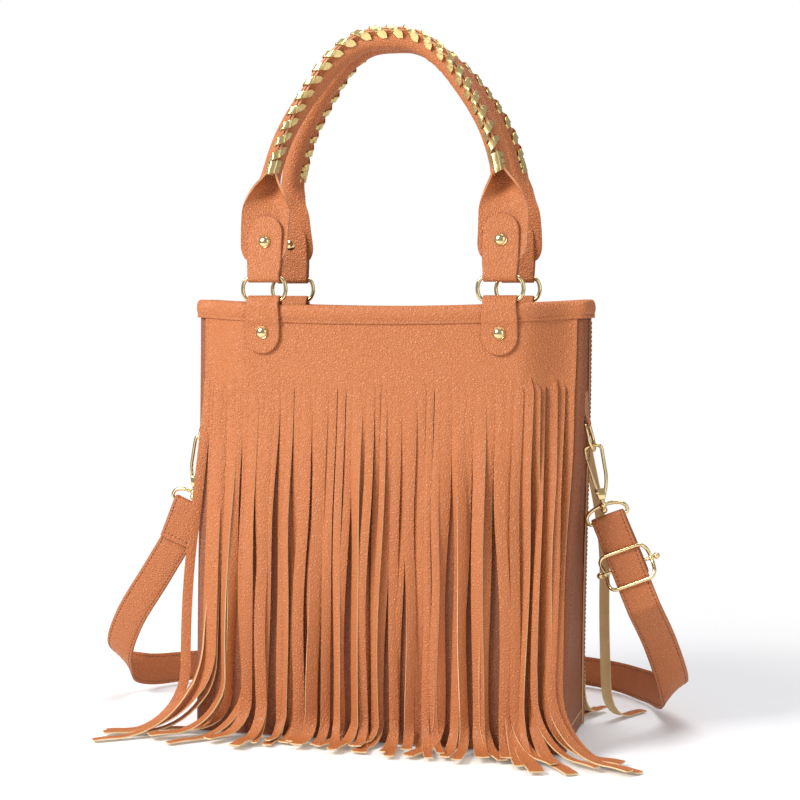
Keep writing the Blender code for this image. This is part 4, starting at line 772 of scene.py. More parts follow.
def sweep(name, frames, sections, finishes, edge_points=()):
    """A solid through sections; a frame is a centre, an across way and an outward way."""
    bm = bmesh.new()
    rows = []
    for (centre, across, outward), section in zip(frames, sections):
        rows.append([bm.verts.new(centre + across * a + outward * o) for a, o in section])
    for i, face in quads(bm, rows):
        face.material_index = 1 if i in edge_points else 0
    middle = len(rows[0]) // 2
    for row in (rows[0], rows[-1]):
        for i in range(middle - 1):
            corners = [row[i], row[i + 1], row[-i - 2], row[-i - 1]] if i else [row[0], row[1], row[-1]]
            bm.faces.new(corners).material_index = 1 if edge_points else 0
        bm.faces.new(row[middle - 1 : middle + 2])
    return solid_from(name, bm, finishes)


STRAP_EDGE_POINTS = (0, 1, 13, 14, 15, 16, 28, 29)


def resampled(path, step):
    """Even points along a polyline, and their distances from its start."""
    lengths = [0.0]
    for a, b in zip(path, path[1:]):
        lengths.append(lengths[-1] + (b - a).length)
    count = max(2, round(lengths[-1] / step))
    made = []
    k = 0
    for i in range(count + 1):
        goal = lengths[-1] * i / count
        while k < len(path) - 2 and lengths[k + 1] < goal:
            k += 1
        share = (goal - lengths[k]) / max(1e-9, lengths[k + 1] - lengths[k])
        made.append((path[k].lerp(path[k + 1], share), goal))
    return made, lengths[-1]


def eased(points, rounds):
    """Rounds a polyline's bends off, its two ends kept."""
    for _ in range(rounds):
        points = [points[0]] + [(a + b * 2 + c) / 4 for a, b, c in zip(points, points[1:], points[2:])] + [points[-1]]
    return points


def ways_along(points):
    """The way along a line at each of its points."""
    last = len(points) - 1
    return [(points[min(i + 1, last)] - points[max(i - 1, 0)]).normalized() for i in range(last + 1)]


def tab_from(name, path, across, width_at, outward_hint):
    """A strap tab with round ends along a path that lies in one plane."""
    fine, total = resampled(path, 0.0010)
    spots = eased([p for p, _ in fine], 3)
    frames = []
    sections = []
    for i, (p, along) in enumerate(zip(spots, ways_along(spots))):
        outward = across.cross(along).normalized() * outward_hint
        near = min(fine[i][1], total - fine[i][1])
        half = width_at(p) / 2
        radius = TAB_WIDTH / 2
        if near < radius:
            half *= math.sqrt(max(0.012, 1 - (1 - (near + 0.0002) / radius) ** 2))
        frames.append((p, across, outward))
        sections.append(strap_section(half, TAB_LEATHER * (0.55 + 0.45 * smooth(near / 0.0012))))
    return sweep(name, frames, sections, (TAN_LEATHER, TAB_EDGE), edge_points=STRAP_EDGE_POINTS)


def half_turn(middle, radius, toward, up, steps=14):
    """Points of a half turn over the top of a bar, from the side that toward points at."""
    return [
        middle + toward * (radius * math.cos(math.pi * k / steps)) + up * (radius * math.sin(math.pi * k / steps))
        for k in range(steps + 1)
    ]


UP = Vector((0, 0, 1))


def anchor_path(facing, x):
    foot = BAG_HEIGHT - 0.0125 - rim_drop(x, BAG_HEIGHT)
    low = RIM_AT_RING - ANCHOR_DROP

    def at(depth, z):
        return Vector((x, facing * (front_half_depth(x, z) - depth), z))

    bar = Vector((x, facing * RING_Y, RING_LOW_BAR))
    outside = [at(-0.0026, low), at(-0.0026, foot - 0.0030), at(-0.0041, foot), at(-0.0041, RIM_AT_RING)]
    inside = [at(0.0062, RIM_AT_RING), at(0.0062, foot), at(0.0046, foot - 0.0030), at(0.0046, low)]
    return outside + half_turn(bar, TAB_BEND, Vector((0, facing, 0)), UP) + inside


for face, facing in FACES:
    for hand, side in SIDES:
        x = side * RING_X
        tab = tab_from(
            f"anchor_strap_{face}_{hand}", anchor_path(facing, x), Vector((1, 0, 0)),
            lambda p: TAB_WIDTH + (TAB_WAIST - TAB_WIDTH) * smooth((p.z - RING_LOW_BAR + 0.014) / 0.012), facing,
        )
        hand_over(tab, "bag", "tan_leather", f"anchor_tab_{face}_{hand}")


# Rivets: turned brass caps with a pale gold plate, domed in front and low behind,
# each on a shank that is pressed shut through the leather.
RIVET_HEAD = 0.0098
RIVET_DOME = 0.0030
RIVET_SHANK = 0.0036
RIVET_STEPS = 32


def plated(name, colour, roughness, relief=0.00004, scale=420):
    """Pale gold plate: a mirror with faint waviness and fine handling marks."""
    made, tree, shader, place = surface(name)
    marks = cloudy(tree, place, scale, 4)
    rough = ranged(tree, marks, To_Min=roughness * 0.7, To_Max=roughness * 1.5)
    embossed(tree, shader, 0.3, relief, marks)
    tree.links.new(rough, shader.inputs["Roughness"])
    shader.inputs["Base Color"].default_value = colour
    shader.inputs["Metallic"].default_value = 1.0
    return made


GOLD_PLATE = plated("pale_gold_plate", (0.88, 0.68, 0.35, 1), 0.13)


def turned(name, profile, seat, axis, finish, steps=RIVET_STEPS):
    """A solid of revolution from (radius, height) pairs listed top to bottom along an axis."""
    turn = UP.rotation_difference(axis).to_matrix()
    bm = bmesh.new()
    rows = []
    for r, h in profile[1:-1]:
        ring = []
        for k in range(steps):
            angle = math.tau * k / steps
            ring.append(bm.verts.new(seat + turn @ Vector((r * math.cos(angle), r * math.sin(angle), h))))
        rows.append(ring)
    top = bm.verts.new(seat + turn @ Vector((0, 0, profile[0][1])))
    bottom = bm.verts.new(seat + turn @ Vector((0, 0, profile[-1][1])))
    quads(bm, rows)
    for k in range(steps):
        bm.faces.new((top, rows[0][k], rows[0][(k + 1) % steps]))
        bm.faces.new((bottom, rows[-1][(k + 1) % steps], rows[-1][k]))
    return solid_from(name, bm, (finish,))


def mirrored(profile):
    """A profile's upper half with its mirror image below."""
    return profile + [(r, -h) for r, h in reversed(profile)]


def rivet(name, head_seat, tail_seat):
    axis = (head_seat - tail_seat).normalized()
    grip = (head_seat - tail_seat).length
    head, shank = RIVET_HEAD / 2, RIVET_SHANK / 2
    profile = [(0.0, RIVET_DOME)]
    for degrees in range(80, 5, -10):
        turn = math.radians(degrees)
        profile.append((head * 0.86 * math.cos(turn), 0.0007 + (RIVET_DOME - 0.0007) * math.sin(turn)))
    profile += [(head * 0.88, 0.0007), (head * 0.96, 0.0008), (head, 0.0005), (head, 0.0001), (head * 0.95, 0.0)]
    profile += [(shank, 0.0), (shank, -grip), (head * 0.8, -grip), (head * 0.8, -grip - 0.0004)]
    profile += [(head * 0.6, -grip - 0.0010), (0.0, -grip - 0.0012)]
    return turned(name, profile, head_seat, axis, GOLD_PLATE)


for face, facing in FACES:
    for hand, side in SIDES:
        x = side * RING_X
        z = RIM_AT_RING - ANCHOR_RIVET_DROP
        outer = front_half_depth(x, z) + 0.0038
        inner = front_half_depth(x, z) - 0.0058
        lean = (front_half_depth(x, z + 0.01) - front_half_depth(x, z - 0.01)) / 0.02
        head_seat = Vector((x, facing * outer, z))
        tail_seat = Vector((x, facing * inner, z + lean * (outer - inner)))
        cap = rivet(f"anchor_cap_{face}_{hand}", head_seat, tail_seat)
        hand_over(cap, "bag", "gold_metal", f"anchor_rivet_{face}_{hand}")


# Handle rings: plated wire bent to an oval with straight top and bottom bars. Each hangs
# in its anchor tab's fold and carries the connector tab of a handle.
RING_STRAIGHT = 0.0122
RING_END = 0.0053
WIRE_SIDES = 18


def wire(name, points, radii, finish, closed=False):
    """Round wire along points, with a radius for each or one for all."""
    curve = bpy.data.curves.new(name, "CURVE")
    curve.dimensions = "3D"
    curve.bevel_depth = 1.0
    curve.bevel_resolution = WIRE_SIDES // 2 - 2
    curve.use_fill_caps = not closed
    curve.twist_mode = "MINIMUM"
    spline = curve.splines.new("POLY")
    spline.points.add(len(points) - 1)
    for i, p in enumerate(points):
        spline.points[i].co = (p[0], p[1], p[2], 1)
        spline.points[i].radius = radii if isinstance(radii, float) else radii[i]
    spline.use_cyclic_u = closed
    guide = bpy.data.objects.new(name + "_guide", curve)
    bpy.context.scene.collection.objects.link(guide)
    bpy.context.view_layer.update()
    data = bpy.data.meshes.new_from_object(guide.evaluated_get(bpy.context.evaluated_depsgraph_get()))
    bpy.data.objects.remove(guide, do_unlink=True)
    bm = bmesh.new()
    bm.from_mesh(data)
    bpy.data.meshes.remove(data)
    bmesh.ops.remove_doubles(bm, verts=bm.verts, dist=0.000005)
    for face in bm.faces:
        face.material_index = 0
    return solid_from(name, bm, (finish,), sharp=60)


def oval(straight, end_width, end_height, steps=16):
    """Flat points of an oval: two straight bars joined by half ellipses."""
    points = []
    for side, start in ((1, -90), (-1, 90)):
        for k in range(steps + 1):
            turn = math.radians(start + 180 * k / steps)
            points.append((side * straight + end_width * math.cos(turn), end_height * math.sin(turn)))
    return points


for face, facing in FACES:
    for hand, side in SIDES:
        middle = Vector((side * RING_X, facing * RING_Y, (RING_LOW_BAR + RING_HIGH_BAR) / 2))
        flat = oval(RING_STRAIGHT, RING_END, (RING_HIGH_BAR - RING_LOW_BAR) / 2)
        ring = wire(
            f"oval_ring_{face}_{hand}", [middle + Vector((a, 0, b)) for a, b in flat], RING_WIRE / 2, GOLD_PLATE, True
        )
        hand_over(ring, f"{face}_rings", "gold_metal", f"handle_ring_{face}_{hand}")


# Handles: one strip of leather each, flat and leaf-shaped over the rings, then drawn together
# and rolled round a cord filling, with its two edges standing up side by side as a ridge.
HANDLE_RISE = 0.186
HANDLE_TUBE = 0.0150
HANDLE_LEATHER = 0.0018
HANDLE_RIDGE = 0.0050
LEAF_WIDTH = 0.038
LEAF_START = 0.013
HANDLES_APART = 0.0012
ROLL_START = 0.050
ROLL_END = 0.090
HANDLE_STATIONS = 170
HANDLE_LEAN = math.asin((RING_Y - HANDLE_TUBE / 2 - HANDLES_APART / 2) / (HANDLE_RISE + HANDLE_TUBE / 2))
HANDLE_HALF = (
    # half of the middle line, as shares of the ring's distance from the middle and of the rise
    (-1.005, 0.070), (-1.012, 0.25), (-0.985, 0.42), (-0.88, 0.60), (-0.70, 0.76), (-0.47, 0.905), (-0.235, 0.985),
)


def curve_through(points, count):
    """Even points on a smooth curve through the given ones."""
    ends = [points[0] * 2 - points[1]] + list(points) + [points[-1] * 2 - points[-2]]
    fine = []
    for a, b, c, d in zip(ends, ends[1:], ends[2:], ends[3:]):
        for k in range(24):
            t = k / 24
            fine.append(
                0.5 * (2 * b + (c - a) * t + (2 * a - 5 * b + 4 * c - d) * t**2 + (3 * b - a - 3 * c + d) * t**3)
            )
    fine.append(points[-1])
    length = sum((b - a).length for a, b in zip(fine, fine[1:]))
    return [p for p, _ in resampled(fine, length / (count - 1))[0]]


def handle_point(facing, x, up, out=0.0):
    """A point of a handle's own leaning plane: across, up from the ring's high bar, and out of the plane."""
    y = RING_Y - up * math.sin(HANDLE_LEAN) + out * math.cos(HANDLE_LEAN)
    return Vector((x, facing * y, RING_HIGH_BAR + up * math.cos(HANDLE_LEAN) + out * math.sin(HANDLE_LEAN)))


handle_shape = [Vector((a * RING_X, b * HANDLE_RISE, 0)) for a, b in HANDLE_HALF]
handle_shape += [Vector((0, HANDLE_RISE, 0))] + [Vector((-p.x, p.y, 0)) for p in reversed(handle_shape)]
handle_line = curve_through(handle_shape, HANDLE_STATIONS)
HANDLE_LENGTH = sum((b - a).length for a, b in zip(handle_line, handle_line[1:]))
FRONT_TURN_LEFT = math.radians(-34)
FRONT_TURN_RIGHT = math.radians(2)
FRONT_TURN_TOP = math.radians(50)
BACK_TURN = math.radians(64)


def ridge_turn(facing, share):
    """How far a handle's ridge is turned about its tube: the front one leans in on the arms and up at
    the top, and the back one winds from the inner side of one arm to the outer side of the other."""
    held = smooth(min(share, 1 - share) / 0.24)
    if facing > 0:
        return BACK_TURN * held * math.cos(math.pi * share)
    arms = FRONT_TURN_LEFT + (FRONT_TURN_RIGHT - FRONT_TURN_LEFT) * share
    return held * (arms + FRONT_TURN_TOP * math.sin(math.pi * share) ** 4)


def handle_frames(facing, line):
    """A centre, an across way, an outward way and the way along, at each point of a line."""
    plane = (handle_point(facing, 0, 0, 1) - handle_point(facing, 0, 0)).normalized()
    frames = []
    for i, p in enumerate(line):
        a, b = line[max(0, i - 1)], line[min(len(line) - 1, i + 1)]
        along = (handle_point(facing, b.x, b.y) - handle_point(facing, a.x, a.y)).normalized()
        across = plane.cross(along).normalized()
        turn = ridge_turn(facing, i / (len(line) - 1))
        outward = plane * math.cos(turn) + across * math.sin(turn)
        frames.append((handle_point(facing, p.x, p.y), outward.cross(along).normalized(), outward, along))
    return frames


SECTION_POINTS = 45
TUBE_SHARE = 0.79


def rolled_section(roll, width, waviness):
    """The strip's section while it is rolled up: flat at 0, a trough half way, shut at 1."""
    radius = (HANDLE_TUBE - HANDLE_LEATHER) / 2
    edge = HANDLE_LEATHER / 2 + 0.00035
    shut = math.pi - math.asin(edge / radius)
    middle = []
    for k in range(SECTION_POINTS):
        share = 2 * k / (SECTION_POINTS - 1) - 1
        sign = math.copysign(1, share)
        flat = Vector((share * width / 2, 0.0014 * abs(share) ** 3 + waviness * share))
        if abs(share) > TUBE_SHARE:
            rise = (abs(share) - TUBE_SHARE) / (1 - TUBE_SHARE)
            tube = Vector((sign * edge, -radius * math.cos(shut) + HANDLE_RIDGE * rise))
        else:
            turn = share / TUBE_SHARE * shut
            tube = Vector((radius * math.sin(turn), -radius * math.cos(turn)))
        bow = width / 2 / math.radians(100)
        turn = share * math.radians(100)
        trough = Vector((bow * math.sin(turn), bow * (0.5 - math.cos(turn))))
        if roll < 0.5:
            middle.append(flat.lerp(trough, roll * 2))
        else:
            middle.append(trough.lerp(tube, roll * 2 - 1))
    outer = []
    inner = []
    for k, p in enumerate(middle):
        run = (middle[min(k + 1, SECTION_POINTS - 1)] - middle[max(k - 1, 0)]).normalized()
        normal = Vector((run.y, -run.x))
        outer.append(p + normal * HANDLE_LEATHER / 2)
        inner.append(p - normal * HANDLE_LEATHER / 2)
    return [(p.x, p.y) for p in outer + list(reversed(inner))]


HANDLE_EDGE = napped("raw_tan_edge", (0.78, 0.36, 0.17, 1), (0.50, 0.19, 0.08, 1), 1300, 0.7, 0.05)
CREASED_SHARE = 0.22
CREASE_DEPTH = 0.0013


def make_handle(name, facing):
    frames = handle_frames(facing, handle_line)
    bm = bmesh.new()
    rows = []
    for i, (centre, across, outward, _) in enumerate(frames):
        near = min(i, len(frames) - 1 - i) * HANDLE_LENGTH / (len(frames) - 1)
        roll = smooth((near - ROLL_START + LEAF_START) / (ROLL_END - ROLL_START))
        round_end = math.sqrt(max(0.02, 1 - (1 - min(1.0, (near + 0.0004) / 0.014)) ** 2))
        width = LEAF_WIDTH * (0.55 + 0.45 * round_end)
        wave = noise.noise(Vector((near * 60, facing, i > 80))) * 0.0006 * (1 - roll)
        top = smooth((CREASED_SHARE - abs(i / (len(frames) - 1) - 0.5)) / 0.08)
        row = []
        for a, o in rolled_section(roll, width, wave):
            fold = noise.noise(Vector((near * 170, a * 90, facing * 3)))
            fold += 0.6 * noise.noise(Vector((near * 420, a * 60, 5)))
            out = o + CREASE_DEPTH * top * fold * smooth(-o / 0.004)
            row.append(bm.verts.new(centre + across * a + outward * out))
        rows.append(row)
    count = 2 * SECTION_POINTS
    for i, face in quads(bm, rows):
        face.material_index = 1 if i in (SECTION_POINTS - 1, count - 1) else 0
    for row in (rows[0], rows[-1]):
        for i in range(SECTION_POINTS - 1):
            face = bm.faces.new((row[i], row[i + 1], row[count - 2 - i], row[count - 1 - i]))
            face.material_index = 1
    return solid_from(name, bm, (TAN_LEATHER, HANDLE_EDGE), sharp=60)


# the filling shows only at the leaves' throats and stays the plain solid, with its own finish
CORD_FILLING = napped("cotton_cord_filling", (0.32, 0.27, 0.20, 1), (0.16, 0.13, 0.10, 1), 500)
for face, facing in FACES:
    handle = make_handle(f"rolled_handle_{face}", facing)
    hand_over(handle, f"{face}_handle", "tan_leather", f"handle_{face}")
    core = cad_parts[f"handle_core_{face}"]
    core.data.materials.clear()
    core.data.materials.append(CORD_FILLING)


# Lacing: a flat lace with a metallic gold face, whipped over the ridge through slits at its foot,
# pulled tight and bunched at both ends. It stops the rolled strip from opening.
LACE_WIDTH = 0.0056
LACE_THICKNESS = 0.0008
LACE_PITCH = 0.0128
LACE_START = 0.082
BUNCHED = (0.0, 0.0045, 0.0095)
SLIT_OUT = 0.0050
SLIT_HIGH = 0.0060
LACE_STEPS = 5
GOLD_FOIL = plated("creased_gold_foil", (0.86, 0.66, 0.28, 1), 0.27, relief=0.00035, scale=330)


def lace_marks():
    """The distances along a handle at which the lace passes through the ridge."""
    first = LACE_START - LEAF_START
    last = HANDLE_LENGTH - first
    run = last - first - 2 * BUNCHED[-1]
    wraps = round(run / LACE_PITCH)
    marks = [first + b for b in BUNCHED[:-1]]
    marks += [first + BUNCHED[-1] + run * k / wraps for k in range(wraps + 1)]
    return marks + [last - b for b in reversed(BUNCHED[:-1])]


def make_lacing(name, facing):
    frames = handle_frames(facing, handle_line)
    chance = random.Random(5 + facing)
    side = HANDLE_LEATHER + 0.00035 + LACE_THICKNESS / 2 + 0.0002
    low = (HANDLE_TUBE - HANDLE_LEATHER) / 2 + 0.0014
    top = (HANDLE_TUBE - HANDLE_LEATHER) / 2 + HANDLE_RIDGE + LACE_THICKNESS / 2 + 0.0005

    def spot(distance, a, o):
        at = min(max(0.0, distance / HANDLE_LENGTH * (len(frames) - 1)), len(frames) - 1.001)
        k = int(at)
        centre, across, outward, along = (p.lerp(q, at - k) for p, q in zip(frames[k], frames[k + 1]))
        return centre + across * a + outward * o, along

    marks = lace_marks()
    points = []
    for k, mark in enumerate(marks):
        gap = (marks[k + 1] - mark) if k < len(marks) - 1 else 0.004
        puff = chance.uniform(0.0, 0.0006)
        points += [(spot(mark, -side * 0.6, low - 0.0030), 0.5), (spot(mark, side * 0.6, low - 0.0030), 0.5)]
        points += [(spot(mark, SLIT_OUT, SLIT_HIGH), 0.6), (spot(mark + gap * 0.06, side + puff, low + 0.0008), 0.9)]
        points += [(spot(mark + gap * 0.14, side + puff, top - 0.0016), 1.0)]
        points += [(spot(mark + gap * 0.24, side * 0.75, top + puff), 1.0)]
        points += [(spot(mark + gap * 0.54, -side * 0.75, top + puff), 1.0)]
        points += [(spot(mark + gap * 0.66, -side - puff, top - 0.0018), 1.1)]
        points += [(spot(mark + gap * 0.82, -side - 0.0009 - puff, low + 0.0010), 1.15)]
        points += [(spot(mark + gap * 0.97, -SLIT_OUT, SLIT_HIGH), 0.6)]
    path = curve_through([p for (p, _), _ in points], len(points) * LACE_STEPS)
    frames_out = []
    sections = []
    flat = [(-1, 0), (-0.94, 0.7), (-0.5, 0.95), (0, 1), (0.5, 0.95), (0.94, 0.7), (1, 0)]
    flat += [(a, -o) for a, o in reversed(flat[1:-1])]
    places = [p for (p, _), _ in points]
    near = 0
    for p, run in zip(path, ways_along(path)):
        while near < len(places) - 1 and (places[near + 1] - p).length < (places[near] - p).length:
            near += 1
        (_, along), wide = points[near]
        across = (along - run * along.dot(run)).normalized()
        frames_out.append((p, across, across.cross(run).normalized()))
        half = LACE_WIDTH / 2 * wide
        sections.append([(a * half, o * LACE_THICKNESS / 2) for a, o in flat])
    halves = [section[6][0] for section in sections]
    for _ in range(4):
        halves = [halves[0]] + [(a + b + c) / 3 for a, b, c in zip(halves, halves[1:], halves[2:])] + [halves[-1]]
    sections = [[(a * half / section[6][0], o) for a, o in section] for section, half in zip(sections, halves)]
    return sweep(name, frames_out, sections, (GOLD_FOIL,))


for face, facing in FACES:
    hand_over(make_lacing(f"gold_lace_{face}", facing), f"{face}_handle", "gold_lacing", f"lacing_{face}")


# Connector tabs: straps like the anchor tabs, folded round the rings' high bars,
# with a handle's leaf between their legs and one rivet through all three.
CONNECTOR_LENGTH = 0.048
CONNECTOR_RIVET_RISE = 0.028
for face, facing in FACES:
    outward = (handle_point(facing, 0, 0, 1) - handle_point(facing, 0, 0)).normalized()
    upward = (handle_point(facing, 0, 1) - handle_point(facing, 0, 0)).normalized()
    leg = HANDLE_LEATHER / 2 + 0.0003 + TAB_LEATHER / 2
    for hand, side in SIDES:
        bar = handle_point(facing, side * RING_X, 0)
        front_leg = [bar + outward * leg + upward * u for u in (CONNECTOR_LENGTH, 0.030, 0.012, 0.008)]
        back_leg = [bar - outward * leg + upward * u for u in (0.008, 0.012, 0.030, CONNECTOR_LENGTH)]
        path = front_leg + half_turn(bar, TAB_BEND, outward, -upward) + back_leg
        tab = tab_from(
            f"connector_strap_{face}_{hand}", path, Vector((1, 0, 0)),
            lambda p: TAB_WAIST + (TAB_WIDTH - TAB_WAIST) * smooth((p - bar).dot(upward) / 0.014), -facing,
        )
        hand_over(tab, f"{face}_handle", "tan_leather", f"connector_tab_{face}_{hand}")
        reach = leg + TAB_LEATHER / 2 + 0.0001
        cap = rivet(
            f"handle_cap_{face}_{hand}",
            handle_point(facing, side * RING_X, CONNECTOR_RIVET_RISE, reach),
            handle_point(facing, side * RING_X, CONNECTOR_RIVET_RISE, -reach),
        )
        hand_over(cap, f"{face}_handle", "gold_metal", f"handle_rivet_{face}_{hand}")


# Side tabs and D-rings: on each gusset a short thin tab, pinched round the straight bar
# of a D of plated wire, which hangs a little out from the bag.
GAP = 0.0003
SIDE_RING_Z = 0.238
SIDE_RING_RADIUS = 0.010
SIDE_RING_WIRE = 0.0028
SIDE_RING_TILT = math.radians(15)
SIDE_TAB_LEATHER = 0.0012
SIDE_TAB_HALF = 0.008
SIDE_LEG_X = 0.15044
SIDE_TAB_BEND = SIDE_RING_WIRE / 2 + GAP + SIDE_TAB_LEATHER / 2
SIDE_RING_X = SIDE_LEG_X + SIDE_TAB_BEND
SIDE_TAB_TOP = 0.264


def side_tab_section(pinch):
    """The tab's section, pinched at its middle where it holds the ring."""
    half = SIDE_TAB_HALF * (1 - 0.22 * pinch)
    rounded = [(-1, 0), (-0.97, 0.7), (-0.7, 1), (-0.35, 1), (0, 1), (0.35, 1), (0.7, 1), (0.97, 0.7), (1, 0)]
    rounded += [(a, -o) for a, o in reversed(rounded[1:-1])]
    return [(a * half, o * SIDE_TAB_LEATHER / 2) for a, o in rounded]


for hand, side in SIDES:
    bar = Vector((side * SIDE_RING_X, 0, SIDE_RING_Z))
    outer_leg = SIDE_LEG_X + SIDE_TAB_LEATHER + GAP
    inner = [Vector((side * SIDE_LEG_X, 0, z)) for z in (SIDE_TAB_TOP, 0.255, SIDE_RING_Z + 0.006)]
    bend = half_turn(bar, SIDE_TAB_BEND, Vector((-side, 0, 0)), Vector((0, 0, -1)))
    outer = [Vector((side * outer_leg, 0, z)) for z in (SIDE_RING_Z + 0.009, 0.255, SIDE_TAB_TOP - 0.001)]
    fine, _ = resampled(inner + bend + outer, 0.0012)
    spots = eased([p for p, _ in fine], 2)
    frames = []
    sections = []
    across = Vector((0, 1, 0))
    for p, along in zip(spots, ways_along(spots)):
        frames.append((p, across, across.cross(along).normalized()))
        sections.append(side_tab_section(smooth((0.252 - p.z) / 0.012)))
    tab = sweep(f"side_strap_{hand}", frames, sections, (TAN_LEATHER,))
    hand_over(tab, "bag", "tan_leather", f"side_tab_{hand}")
    flat = [(SIDE_RING_RADIUS - 0.0012, 0.0), (-SIDE_RING_RADIUS + 0.0012, 0.0), (-SIDE_RING_RADIUS, 0.0012)]
    for k in range(25):
        turn = math.radians(180 + 7.5 * k)
        flat.append((SIDE_RING_RADIUS * math.cos(turn), SIDE_RING_RADIUS - SIDE_RING_RADIUS * math.sin(turn)))
    flat.append((SIDE_RING_RADIUS, 0.0012))
    down = Vector((side * math.sin(SIDE_RING_TILT), 0, -math.cos(SIDE_RING_TILT)))
    ring_line = [bar + Vector((0, y, 0)) + down * d for y, d in flat]
    ring = wire(f"d_ring_{hand}", ring_line, SIDE_RING_WIRE / 2, GOLD_PLATE, True)
    hand_over(ring, f"side_ring_{hand}", "gold_metal", f"side_ring_{hand}")


# Swivel hooks: each is cast with a slender bent body on a flat foot, has a sprung lever gate on
# a cross pin, and turns on a ball-ended post in the eye of a wide half-round loop.
HOOK_WIRE = 0.0030
HOOK_RADIUS = 0.0065
HOOK_LENGTH = 0.0330
FOOT_WIDTH = 0.0100
FOOT_DEPTH = 0.0046
FOOT_HEIGHT = 0.0080
GATE_WIDTH = 0.0018
POST_RADIUS = 0.0015
BALL_RADIUS = 0.0026
RING_PLAY = 0.0008
LOOP_WIRE = 0.0028
LOOP_HALF = 0.0161
LOOP_BAR_DROP = 0.0112
LOOP_CORNER = 0.0030
STRAP_TILT = math.radians(22)
HOOK_LEAN = 0.18267
HOOK_SHIFT = -0.0005
HOOK_X = SIDE_RING_X + 2 * SIDE_RING_RADIUS * math.sin(SIDE_RING_TILT) + HOOK_SHIFT
ARC_LOW = SIDE_RING_Z - 2 * SIDE_RING_RADIUS * math.cos(SIDE_RING_TILT)
ARCH_TOP = ARC_LOW + SIDE_RING_WIRE / 2 + RING_PLAY + HOOK_WIRE / 2
ARCH_RISE = 0.0044
ARCH_SQUARE = 0.65
NOSE_HEIGHT = ARCH_TOP - 0.0100
FOOT_TOP = ARCH_TOP - HOOK_LENGTH
FOOT_LOW = FOOT_TOP - FOOT_HEIGHT
SWIVEL_HEIGHT = FOOT_LOW - 0.0030 - LOOP_WIRE / 2


def strap_ways(side):
    """The ways across and down the strap beside a loop."""
    across = Vector((side * math.cos(STRAP_TILT), 0, math.sin(STRAP_TILT)))
    return across, Vector((side * math.sin(STRAP_TILT), 0, -math.cos(STRAP_TILT)))


def hook_spot(side, x, y, z):
    """A place on a hook: it stands upright here and is then leaned out about the ring's lowest point."""
    drop = ARC_LOW - z
    return Vector((
        side * (HOOK_X + x * math.cos(HOOK_LEAN) + drop * math.sin(HOOK_LEAN)), y,
        ARC_LOW - drop * math.cos(HOOK_LEAN) + x * math.sin(HOOK_LEAN),
    ))


def cast_block(name, side, rows, finish, bevel):
    """A closed form through level rounded rectangles; a row is a height, a middle, a width and a depth."""
    bm = bmesh.new()
    rings = []
    for z, x, width, depth in rows:
        ring = []
        for k in range(24):
            turn = math.tau * (k + 0.5) / 24
            a = math.copysign(abs(math.cos(turn)) ** bevel, math.cos(turn)) * width / 2
            b = math.copysign(abs(math.sin(turn)) ** bevel, math.sin(turn)) * depth / 2
            ring.append(bm.verts.new(hook_spot(side, x + a, b, z)))
        rings.append(ring)
    quads(bm, rings)
    bm.faces.new(list(reversed(rings[0])))
    bm.faces.new(rings[-1])
    return solid_from(name, bm, (finish,), sharp=45)


def merged(name, pieces):
    """Several meshes as one object."""
    bm = bmesh.new()
    for piece in pieces:
        bm.from_mesh(piece.data)
    finishes = list(pieces[0].data.materials)
    for piece in pieces:
        bpy.data.objects.remove(piece, do_unlink=True)
    return object_from(name, bm, finishes, sharp=45)


